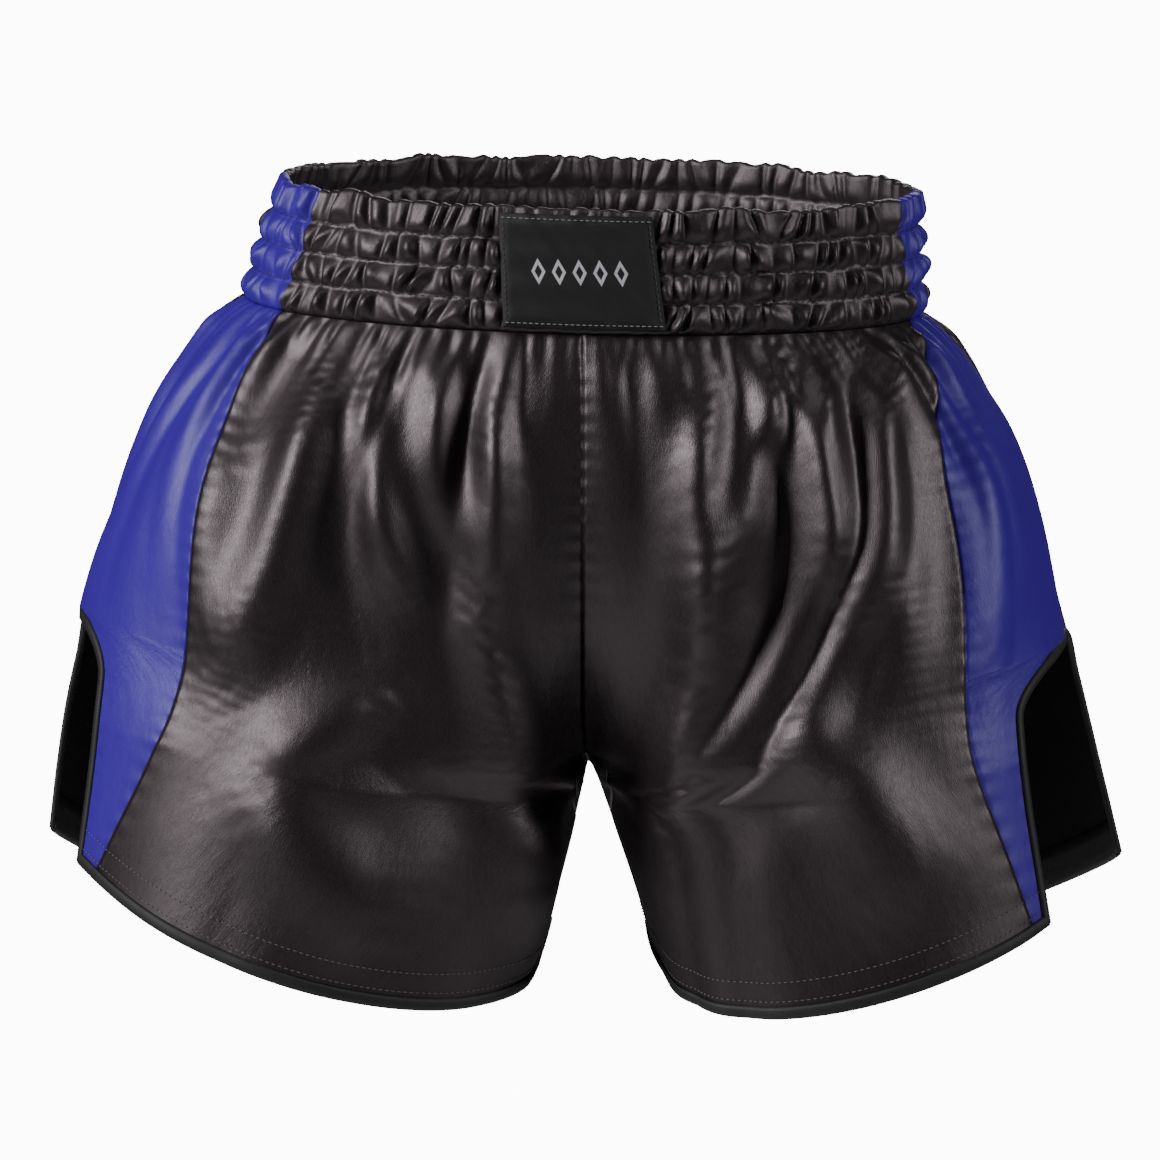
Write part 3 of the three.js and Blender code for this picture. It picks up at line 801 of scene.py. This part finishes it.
def make_elastic(number, material):
    """One elastic, ribbed along its length, in the middle of its channel."""
    row = ROWS - number
    round_at = np.linspace(-HALF_ROUND, HALF_ROUND, 241)[:-1]
    shape = [(-0.5, -1), (-0.25, -1.2), (0, -1), (0.25, -1.2), (0.5, -1),
             (0.5, 1), (0.25, 1.2), (0, 1), (-0.25, 1.2), (-0.5, 1)]
    places = np.stack([
        on_waist(round_at, np.full_like(round_at, (row + 0.5) * PITCH + w * 0.0095), 0.0004 * t)
        for w, t in shape
    ], axis=1)
    return swept(f"elastic_{number}", places, [material], closed=True)


# --- stitches ------------------------------------------------------------------------------------

def stitch_tree():
    """Geometry nodes that set one stitch after another along each curve."""
    tree = bpy.data.node_groups.new("stitch_run", "GeometryNodeTree")
    face = tree.interface
    face.new_socket("Seam", in_out="INPUT", socket_type="NodeSocketGeometry")
    for name, value in (("Pitch", 0.003), ("Length", 0.0022), ("Thread", 0.0004)):
        made = face.new_socket(name, in_out="INPUT", socket_type="NodeSocketFloat")
        made.default_value, made.subtype = value, "DISTANCE"
    face.new_socket("Finish", in_out="INPUT", socket_type="NodeSocketMaterial")
    face.new_socket("Stitches", in_out="OUTPUT", socket_type="NodeSocketGeometry")
    add = tree.nodes.new
    start, end = add("NodeGroupInput"), add("NodeGroupOutput")
    spaced = add("GeometryNodeResampleCurve")
    spaced.mode = "LENGTH"
    bead = add("GeometryNodeMeshUVSphere")
    for socket, value in (("Segments", 6), ("Rings", 4), ("Radius", 0.5)):
        bead.inputs[socket].default_value = value
    size, shaped = add("ShaderNodeCombineXYZ"), add("GeometryNodeTransform")
    tangent, turn = add("GeometryNodeInputTangent"), add("FunctionNodeAlignRotationToVector")
    turn.axis = "Z"
    sewn, real = add("GeometryNodeInstanceOnPoints"), add("GeometryNodeRealizeInstances")
    finish = add("GeometryNodeSetMaterial")
    for source, out, target, into in (
        (start, "Seam", spaced, "Curve"), (start, "Pitch", spaced, "Length"),
        (start, "Thread", size, "X"), (start, "Thread", size, "Y"), (start, "Length", size, "Z"),
        (bead, "Mesh", shaped, "Geometry"), (size, "Vector", shaped, "Scale"),
        (tangent, "Tangent", turn, "Vector"),
        (spaced, "Curve", sewn, "Points"), (shaped, "Geometry", sewn, "Instance"),
        (turn, "Rotation", sewn, "Rotation"), (sewn, "Instances", real, "Geometry"),
        (real, "Geometry", finish, "Geometry"), (start, "Finish", finish, "Material"),
        (finish, "Geometry", end, "Stitches"),
    ):
        tree.links.new(source.outputs[out], target.inputs[into])
    return tree


def sew(name, lines, material, pitch, length, thread):
    """A piece of stitches along lines of points."""
    tree = bpy.data.node_groups.get("stitch_run") or stitch_tree()
    seam = bpy.data.curves.new(name, "CURVE")
    seam.dimensions = "3D"
    for line in lines:
        spline = seam.splines.new("POLY")
        spline.points.add(len(line) - 1)
        spline.points.foreach_set("co", np.c_[line, np.ones(len(line))].ravel())
    guide = bpy.data.objects.new(name + "_guide", seam)
    bpy.context.scene.collection.objects.link(guide)
    run = guide.modifiers.new("stitches", "NODES")
    run.node_group = tree
    wanted = {"Pitch": pitch, "Length": length, "Thread": thread, "Finish": material}
    for item in tree.interface.items_tree:
        if item.in_out == "INPUT" and item.name in wanted:
            run[item.identifier] = wanted[item.name]
    view = bpy.context.evaluated_depsgraph_get()
    shape = bpy.data.meshes.new_from_object(guide.evaluated_get(view), depsgraph=view)
    shape.name = name
    bpy.data.objects.remove(guide)
    bpy.data.curves.remove(seam)
    shape.shade_smooth()
    piece = bpy.data.objects.new(name, shape)
    bpy.context.scene.collection.objects.link(piece)
    return piece


# --- finishes ------------------------------------------------------------------------------------

# Places of the colour sockets on a Mix node, whose names its other kinds share.
MIX_LOW, MIX_HIGH, MIX_RESULT = 6, 7, 2
OBJECT_COORDINATES = 3


class Value:
    """A number that varies over the surface, written with the usual operators."""

    def __init__(self, board, socket):
        self.board, self.socket = board, socket

    def _with(self, kind, *others):
        return self.board.node("ShaderNodeMath", {"operation": kind}, *others)

    def __add__(self, other):
        return self._with("ADD", self, other)

    def __sub__(self, other):
        return self._with("SUBTRACT", self, other)

    def __mul__(self, other):
        return self._with("MULTIPLY", self, other)

    def __truediv__(self, other):
        return self._with("DIVIDE", self, other)

    __radd__, __rmul__ = __add__, __mul__

    def made(self, kind, *others):
        return self._with(kind, self, *others)


class Finish:
    """One material: its nodes are added by type, settings and socket values."""

    def __init__(self, name):
        self.material = bpy.data.materials.new(name)
        self.material.use_nodes = True
        self.tree = self.material.node_tree
        self.shader = self.tree.nodes["Principled BSDF"]

    def node(self, kind, settings=None, *values, out=0, **named):
        made = self.tree.nodes.new(kind)
        for key, value in (settings or {}).items():
            setattr(made, key, value)
        for key, value in [*enumerate(values), *named.items()]:
            self.put(made.inputs[key if isinstance(key, int) else key.replace("_", " ")], value)
        return Value(self, made.outputs[out])

    def put(self, socket, value):
        if isinstance(value, Value):
            self.tree.links.new(value.socket, socket)
        else:
            socket.default_value = value

    def set(self, **named):
        for key, value in named.items():
            self.put(self.shader.inputs[key.replace("_", " ")], value)
        return self

    def place(self, layer):
        """The two numbers of a UV layer, in metres."""
        spot = self.node("ShaderNodeUVMap", {"uv_map": layer})
        split = self.tree.nodes.new("ShaderNodeSeparateXYZ")
        self.put(split.inputs[0], spot)
        return Value(self, split.outputs[0]), Value(self, split.outputs[1])

    def point(self, x, y, z=0.0):
        return self.node("ShaderNodeCombineXYZ", None, x, y, z)

    def noise(self, vector, scale, detail=2.0, rough=0.5):
        return self.node(
            "ShaderNodeTexNoise", None,
            Vector=vector, Scale=scale, Detail=detail, Roughness=rough,
        )

    def colour(self, share, low, high):
        """A mix of two colours, either of which may be a Value."""
        mixed = self.tree.nodes.new("ShaderNodeMix")
        mixed.data_type = "RGBA"
        self.put(mixed.inputs["Factor"], share)
        for socket, colour in ((MIX_LOW, low), (MIX_HIGH, high)):
            self.put(mixed.inputs[socket], colour if isinstance(colour, Value) else (*colour, 1))
        return Value(self, mixed.outputs[MIX_RESULT])

    def bump(self, height, distance, strength=1.0, **under):
        return self.node(
            "ShaderNodeBump", None,
            Strength=strength, Distance=distance, Height=height, **under,
        )


def satin(name, low, high, tint, rough, level):
    """Warp-faced satin: long floats, soft creases, and a pucker along every seam, with painted shade
    darkening each seam's groove.
    """
    cloth = Finish(name)
    u, v = cloth.place("grain")
    gap, along = cloth.place("seams")
    floats = cloth.noise(cloth.point(u * 2600, v * 420), 1.0, 2.0, 0.6)
    crease = cloth.noise(cloth.point(u * 46, v * 26), 1.0, 3.0, 0.55)
    soft = cloth.noise(cloth.point(u * 9, v * 7), 1.0, 2.0, 0.5)
    groove = (gap * gap * -700000.0).made("EXPONENT")
    pucker = (along * (TAU / 0.0075)).made("SINE") * (gap * -230.0).made("EXPONENT")
    normal = cloth.bump(floats, 0.00012)
    normal = cloth.bump(crease, 0.0016, 0.5, Normal=normal)
    normal = cloth.bump(0.4 * pucker - 0.5 * groove, 0.0005, Normal=normal)
    shade = 0.55 * soft + 0.35 * crease + 0.1 * floats
    return cloth.set(
        # Painted shade: the base colour is darkened along each seam's groove, where shade falls.
        Base_Color=cloth.colour(shade - 0.5 * groove, low, high),
        Roughness=rough + 0.10 * (soft - 0.5) + 0.22 * (floats - 0.5),
        Specular_IOR_Level=level, Specular_Tint=(*tint, 1),
        Normal=normal,
    ).material


def reverse_cloth(name, low, high):
    """The dull reverse of the satin, with the weft showing as fine ribs; its colours are given darker
    than the face's, as painted shade for the inside.
    """
    cloth = Finish(name)
    u, v = cloth.place("grain")
    rib = (v * (TAU / 0.0009)).made("SINE") * 0.5 + 0.5
    fuzz = cloth.noise(cloth.point(u * 700, v * 700), 1.0, 3.0, 0.6)
    return cloth.set(
        Base_Color=cloth.colour(0.5 * rib + 0.5 * fuzz, low, high),
        Roughness=0.78 + 0.1 * fuzz, Specular_IOR_Level=0.25,
        Normal=cloth.bump(rib + fuzz, 0.00012, 0.6),
    ).material


def tape(name, low, high):
    """Grosgrain tape: ribs across its length."""
    cloth = Finish(name)
    u, v = cloth.place("grain")
    rib = (u * (TAU / 0.0008)).made("SINE") * 0.5 + 0.5
    worn = cloth.noise(cloth.point(u * 90, v * 260), 1.0, 3.0, 0.6)
    return cloth.set(
        Base_Color=cloth.colour(0.4 * rib + 0.6 * worn, low, high),
        Roughness=0.5 + 0.15 * worn, Specular_IOR_Level=0.4,
        Normal=cloth.bump(rib * 0.5 + worn, 0.00015, 0.8),
    ).material


def label_weave(name, low, high, mark):
    """Damask label: fine twill, with a chain of pale woven lozenges across the middle."""
    cloth = Finish(name)
    u, v = cloth.place("grain")
    twill = ((u + v) * (TAU / 0.0007)).made("SINE") * 0.5 + 0.5
    grainy = cloth.noise(cloth.point(u * 1500, v * 1500), 1.0, 2.0, 0.6)
    cell = ((u / 0.0092 + 0.5).made("FRACT") - 0.5).made("ABSOLUTE")
    lozenge = cell * 2.3 + v.made("ABSOLUTE") / 0.0072
    inside = lozenge.made("LESS_THAN", 0.8) * u.made("ABSOLUTE").made("LESS_THAN", 0.0229)
    hollow = lozenge.made("GREATER_THAN", 0.42)
    shown = inside * hollow
    ground = cloth.colour(0.6 * twill + 0.4 * grainy, low, high)
    return cloth.set(
        Base_Color=cloth.colour(shown * (0.85 + 0.15 * twill), ground, mark),
        Roughness=0.55 + 0.1 * grainy, Specular_IOR_Level=0.35,
        Normal=cloth.bump(twill * 0.5 + shown + grainy * 0.3, 0.0002, 0.8),
    ).material


def thread(name, colour, rough=0.5):
    """Sewing thread with a slight twist."""
    cord = Finish(name)
    spot = cord.node("ShaderNodeTexCoord", None, out=OBJECT_COORDINATES)
    twist = cord.noise(spot, 2400.0, 1.0, 0.5)
    return cord.set(
        Base_Color=cord.colour(twist, tuple(0.7 * c for c in colour), colour),
        Roughness=rough + 0.1 * twist, Specular_IOR_Level=0.4,
    ).material


def knit(name, low, high):
    """Ribbed elastic knit."""
    cloth = Finish(name)
    u, v = cloth.place("grain")
    rib = (v * (TAU / 0.0012)).made("SINE") * 0.5 + 0.5
    loop = (u * (TAU / 0.0010)).made("SINE") * 0.5 + 0.5
    return cloth.set(
        Base_Color=cloth.colour(0.5 * rib + 0.5 * loop, low, high),
        Roughness=0.8 + 0.1 * loop,
        Normal=cloth.bump(rib * loop, 0.0003, 1.0),
    ).material


# --- settings ------------------------------------------------------------------------------------

class ShortsSizes(bpy.types.PropertyGroup):
    """Sizes that shape the cloth."""

    ridge_pitch: bpy.props.FloatProperty(
        name="Ridge Pitch", description="Distance between ridges of the shirring",
        default=0.0092, unit="LENGTH", precision=4)
    puff: bpy.props.FloatProperty(
        name="Puff", description="How far a ridge stands out between two stitch lines",
        default=0.0046, unit="LENGTH", precision=4)
    columns: bpy.props.IntProperty(
        name="Casing Columns", description="Faces round the waistband", default=900)
    fold_depth: bpy.props.FloatProperty(
        name="Fold Depth", description="Height of the folds that hang from the gathers",
        default=0.0075, unit="LENGTH", precision=4)
    ease_in_cloth: bpy.props.FloatProperty(
        name="Ease", description="How much larger the cloth is than its shape, as a share",
        default=0.02)
    grip: bpy.props.FloatProperty(
        name="Grip", description="How firmly the body inside holds the shape", default=0.22)
    bend: bpy.props.FloatProperty(
        name="Bend", description="Stiffness of the cloth against creasing", default=6.0)
    frames: bpy.props.IntProperty(
        name="Frames", description="Steps of the hanging cloth", default=18)
    most_move: bpy.props.FloatProperty(
        name="Most Move", description="Furthest that the cloth may move as it settles",
        default=0.012, unit="LENGTH")
    calm: bpy.props.IntProperty(
        name="Calm", description="How often the hung cloth's small creases are evened out",
        default=14)
    thickness: bpy.props.FloatProperty(
        name="Thickness", description="Thickness of the satin", default=0.0005,
        unit="LENGTH", precision=4)


class ShortsColours(bpy.types.PropertyGroup):
    """Colours of the cloths and threads."""

    black: bpy.props.FloatVectorProperty(
        name="Black Satin", description="Front and back panels", subtype="COLOR",
        default=(0.0075, 0.0048, 0.0056))
    blue: bpy.props.FloatVectorProperty(
        name="Blue Satin", description="Side panels", subtype="COLOR",
        default=(0.038, 0.008, 0.29))
    edge: bpy.props.FloatVectorProperty(
        name="Trim", description="Vent bindings and hem bands", subtype="COLOR",
        default=(0.012, 0.011, 0.012))
    mark: bpy.props.FloatVectorProperty(
        name="Label Pattern", description="Pale thread of the label", subtype="COLOR",
        default=(0.62, 0.60, 0.66))


made = {}


def finishes():
    """The materials, made once."""
    if "finishes" not in made:
        colours = bpy.context.scene.shorts_colours
        black, blue, edge = colours.black, colours.blue, colours.edge

        def scaled(colour, share):
            return tuple(share * c for c in colour)

        made["finishes"] = {
            "black": satin("black_satin", scaled(black, 0.7), scaled(black, 1.35), (1.0, 0.86, 0.90),
                           0.45, 0.85),
            "blue": satin("blue_satin", scaled(blue, 0.75), scaled(blue, 1.25), (0.75, 0.80, 1.0),
                          0.45, 0.55),
            # The reverses get darker colours than the faces: their matte finish is real, and the
            # darkening is painted shade for the inside of the shorts.
            "reverse": reverse_cloth("black_reverse", scaled(black, 0.5), scaled(black, 0.9)),
            "blue_reverse": reverse_cloth("blue_reverse", scaled(blue, 0.5), scaled(blue, 0.8)),
            "trim": tape("trim_tape", scaled(edge, 0.7), scaled(edge, 1.9)),
            "label": label_weave("label_damask", (0.007, 0.006, 0.007), (0.020, 0.017, 0.019),
                                 tuple(colours.mark)),
            "elastic": knit("elastic_knit", (0.45, 0.44, 0.42), (0.72, 0.71, 0.68)),
            "black_thread": thread("black_thread", (0.07, 0.065, 0.068), 0.45),
            "hem_thread": thread("hem_thread", (0.13, 0.12, 0.125), 0.5),
            "grey_thread": thread("grey_thread", (0.34, 0.33, 0.36), 0.5),
        }
    return made["finishes"]


def keep(piece, slot, *nodes):
    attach(piece, "root")
    if nodes:
        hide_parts(*nodes)
    return piece


# --- operators -----------------------------------------------------------------------------------

class SHORTS_OT_cloth(bpy.types.Operator):
    """Cut, gather and hang the cloth"""

    bl_idname = "shorts.cloth"
    bl_label = "Hang the Cloth"

    def execute(self, context):
        sizes = context.scene.shorts_sizes
        cloth = Cloth()
        gather(cloth, sizes)
        cloth.cuts = {key: cut_size(cloth, *key) for key in cloth.grids}
        settle(cloth, sizes)
        made["cloth"] = cloth
        return {"FINISHED"}


class SHORTS_OT_panels(bpy.types.Operator):
    """Cut the front, side and back panels and the gusset from the hung cloth"""

    bl_idname = "shorts.panels"
    bl_label = "Panels"

    def execute(self, context):
        cloth, cloths = made["cloth"], finishes()
        thick = context.scene.shorts_sizes.thickness
        for side, word in SIDES.items():
            for kind in ("front", "side", "back"):
                shade = ("blue", "blue_reverse") if kind == "side" else ("black", "reverse")
                node = f"{kind}_panel_{word}"
                name, materials = f"satin_{kind}_{word}", [cloths[m] for m in shade]
                piece = cut_piece(cloth, kind, [side], name, materials, thick)
                keep(piece, "blue_satin" if kind == "side" else "black_satin", node)
                flat, area = cloth.cuts[kind, side]
        shade = [cloths["black"], cloths["reverse"]]
        piece = cut_piece(cloth, "gusset", [1, -1], "satin_gusset", shade, thick)
        keep(piece, "black_satin", "crotch_gusset")
        (front, back), area = zip(*(cloth.cuts["gusset", label] for label in (1, -1)))
        flat, area = (max(front[0], back[0]), front[1] + back[1]), sum(area)
        return {"FINISHED"}


class SHORTS_OT_waistband(bpy.types.Operator):
    """Make the shirred waist casing, its stitch lines and the four elastics inside it"""

    bl_idname = "shorts.waistband"
    bl_label = "Waistband"

    def execute(self, context):
        sizes, cloths = context.scene.shorts_sizes, finishes()
        casing = face_out(make_casing(sizes, [cloths["black"], cloths["blue"]]))
        keep(casing, "black_satin")
        for number in range(1, ROWS + 1):
            elastic = make_elastic(number, cloths["elastic"])
            keep(elastic, "elastic", f"elastic_row_{number}")
        round_at = np.linspace(-HALF_ROUND, HALF_ROUND, 700)
        lines = [on_waist(round_at, np.full_like(round_at, k * PITCH), 0.0011 + 0 * round_at)
                 for k in range(1, ROWS)]
        stitches = sew("waist_stitches", lines, cloths["black_thread"], 0.0031, 0.0023, 0.0005)
        keep(stitches, "trim")
        return {"FINISHED"}


class SHORTS_OT_label(bpy.types.Operator):
    """Make the woven label and the stitching along its edges"""

    bl_idname = "shorts.label"
    bl_label = "Label"

    def execute(self, context):
        cloths = finishes()
        keep(make_label(cloths["label"]), "woven_label", "front_label")
        across = np.linspace(-0.5, 0.5, 60) * (LABEL_WIDE - 0.004)
        lines = []
        for share in (-1, 1):
            height = BAND / 2 + share * (LABEL_HIGH / 2 - 0.0022)
            lines.append(label_places(across, np.full_like(across, height), LABEL_OUT + 0 * across))
        up = np.linspace(-0.5, 0.5, 40) * (LABEL_HIGH - 0.0044)
        sides = [label_places(np.full_like(up, share * (LABEL_WIDE / 2 - 0.0018)),
                              BAND / 2 + up, LABEL_OUT + 0 * up) for share in (-1, 1)]
        keep(sew("label_stitches", lines, cloths["grey_thread"], 0.0026, 0.0019, 0.00045), "trim")
        keep(sew("label_side_stitches", sides, cloths["black_thread"], 0.0026, 0.0019, 0.0004),
             "trim")
        return {"FINISHED"}


class SHORTS_OT_vents(bpy.types.Operator):
    """Bind the arched side vents"""

    bl_idname = "shorts.vents"
    bl_label = "Vent Bindings"

    def execute(self, context):
        for side, word in SIDES.items():
            piece = vent_binding(made["cloth"], side, finishes()["trim"])
            keep(piece, "trim", f"vent_binding_{word}")
        return {"FINISHED"}


class SHORTS_OT_hems(bpy.types.Operator):
    """Face and roll the hems, and sew their two rows of stitches"""

    bl_idname = "shorts.hems"
    bl_label = "Hems"

    def execute(self, context):
        cloth, cloths = made["cloth"], finishes()
        lines = []
        for side, word in SIDES.items():
            front = [settled_grid(cloth, "side", side), settled_grid(cloth, "front", side)[:, 1:]]
            back = [settled_grid(cloth, "back", side)]
            for face, grids, start, stop in (("front", front, 1, None), ("back", back, 0, -1)):
                name = f"hem_roll_{face}_{word}"
                piece = hem_band(name, grids, side, start, stop, cloths["trim"])
                keep(piece, "trim", f"hem_band_{face}_{word}")
                rise = np.concatenate(grids, axis=1)[::-1][:14]
                normals = -grid_normals(rise, side)
                for up in (0.0068, 0.0155):
                    line = from_edge(rise, up) + 0.0002 * from_edge_normal(normals, rise, up)
                    lines.append(line[2:-1])
        keep(sew("hem_stitches", lines, cloths["hem_thread"], 0.0029, 0.0019, 0.0006), "trim")
        return {"FINISHED"}


# Each lamp: where it stands, how wide and high it is, and its power.
LAMPS = {
    "key": ((-2.1, -1.05, 0.8), 0.8, 1.1, 66),
    "fill": ((2.2, -0.8, 0.6), 0.5, 1.1, 27),
    "top": ((-0.3, -0.7, 2.0), 0.7, 0.5, 4),
    "back": ((0.4, 1.9, 1.0), 1.0, 1.0, 9),
}
LAMPS_FACE = Vector((0.0, 0.0, -0.15))
ROOM_LIGHT, BACKDROP_LIGHT = 0.02, 12.0
FLOOR_RADIUS, FLOOR_LEVEL, FLOOR_SIDES = 1.5, -1.0, 64
CAMERA_FACES = Vector((-0.005, 0.0, -0.151))
CAMERA_FAR, CAMERA_TILT, VIEW_WIDE, SENSOR_WIDE = 5.0, math.radians(4), 0.522, 36


def place_object(scene, name, data):
    made = bpy.data.objects.new(name, data)
    scene.collection.objects.link(made)
    return made


def face_towards(thing, spot, target):
    thing.location = spot
    thing.rotation_euler = (target - Vector(spot)).to_track_quat("-Z", "Y").to_euler()


def lay_floor(scene):
    shape = bpy.data.meshes.new("floor")
    turns = np.linspace(0, TAU, FLOOR_SIDES + 1)[:-1]
    ring = [(FLOOR_RADIUS * math.cos(a), FLOOR_RADIUS * math.sin(a), FLOOR_LEVEL) for a in turns]
    shape.from_pydata(ring, [], [list(range(FLOOR_SIDES))])
    pale = Finish("pale_floor").set(Base_Color=(0.85, 0.85, 0.85, 1), Roughness=0.8)
    shape.materials.append(pale.material)
    place_object(scene, "floor", shape)


def light_room(scene):
    """A dim room with a bright backdrop, and four soft lamps."""
    world = bpy.data.worlds.new("studio")
    scene.world = world
    world.use_nodes = True
    tree = world.node_tree
    air, backdrop = tree.nodes["Background"], tree.nodes.new("ShaderNodeBackground")
    for sky, strength in ((air, ROOM_LIGHT), (backdrop, BACKDROP_LIGHT)):
        sky.inputs["Color"].default_value = (1, 1, 1, 1)
        sky.inputs["Strength"].default_value = strength
    seen = tree.nodes.new("ShaderNodeLightPath")
    pick = tree.nodes.new("ShaderNodeMixShader")
    tree.links.new(seen.outputs["Is Camera Ray"], pick.inputs["Fac"])
    tree.links.new(air.outputs["Background"], pick.inputs[1])
    tree.links.new(backdrop.outputs["Background"], pick.inputs[2])
    tree.links.new(pick.outputs["Shader"], tree.nodes["World Output"].inputs["Surface"])
    for name, (spot, wide, high, power) in LAMPS.items():
        lamp = bpy.data.lights.new(name, "AREA")
        lamp.shape = "RECTANGLE"
        lamp.size, lamp.size_y, lamp.energy = wide, high, power
        face_towards(place_object(scene, name, lamp), spot, LAMPS_FACE)


def aim_camera(scene):
    lens = bpy.data.cameras.new("camera")
    lens.sensor_width = SENSOR_WIDE
    lens.lens = SENSOR_WIDE * CAMERA_FAR / VIEW_WIDE
    camera = place_object(scene, "camera", lens)
    away = Vector((0, -math.cos(CAMERA_TILT), math.sin(CAMERA_TILT)))
    face_towards(camera, CAMERA_FACES + CAMERA_FAR * away, CAMERA_FACES)
    scene.camera = camera


class SHORTS_OT_stage(bpy.types.Operator):
    """Set the floor, the soft lights and the camera"""

    bl_idname = "shorts.stage"
    bl_label = "Stage"

    def execute(self, context):
        lay_floor(context.scene)
        light_room(context.scene)
        aim_camera(context.scene)
        return {"FINISHED"}


STEPS = (
    SHORTS_OT_cloth, SHORTS_OT_waistband, SHORTS_OT_panels, SHORTS_OT_label, SHORTS_OT_vents,
    SHORTS_OT_hems, SHORTS_OT_stage,
)


class SHORTS_PT_panel(bpy.types.Panel):
    """Sizes, colours and steps of the shorts"""

    bl_idname = "SHORTS_PT_panel"
    bl_label = "Boxing Shorts"
    bl_space_type = "VIEW_3D"
    bl_region_type = "UI"
    bl_category = "Shorts"

    def draw(self, context):
        for group in (context.scene.shorts_sizes, context.scene.shorts_colours):
            column = self.layout.column()
            for name in group.__annotations__:
                column.prop(group, name)
        for step in STEPS:
            self.layout.operator(step.bl_idname)


CLASSES = (ShortsSizes, ShortsColours, *STEPS, SHORTS_PT_panel)


def register():
    for each in CLASSES:
        bpy.utils.register_class(each)
    bpy.types.Scene.shorts_sizes = bpy.props.PointerProperty(type=ShortsSizes)
    bpy.types.Scene.shorts_colours = bpy.props.PointerProperty(type=ShortsColours)


def unregister():
    del bpy.types.Scene.shorts_colours
    del bpy.types.Scene.shorts_sizes
    for each in reversed(CLASSES):
        bpy.utils.unregister_class(each)


def main():
    register()
    for step in STEPS:
        group, name = step.bl_idname.split(".")
        getattr(getattr(bpy.ops, group), name)()


if __name__ == "__main__":
    main()
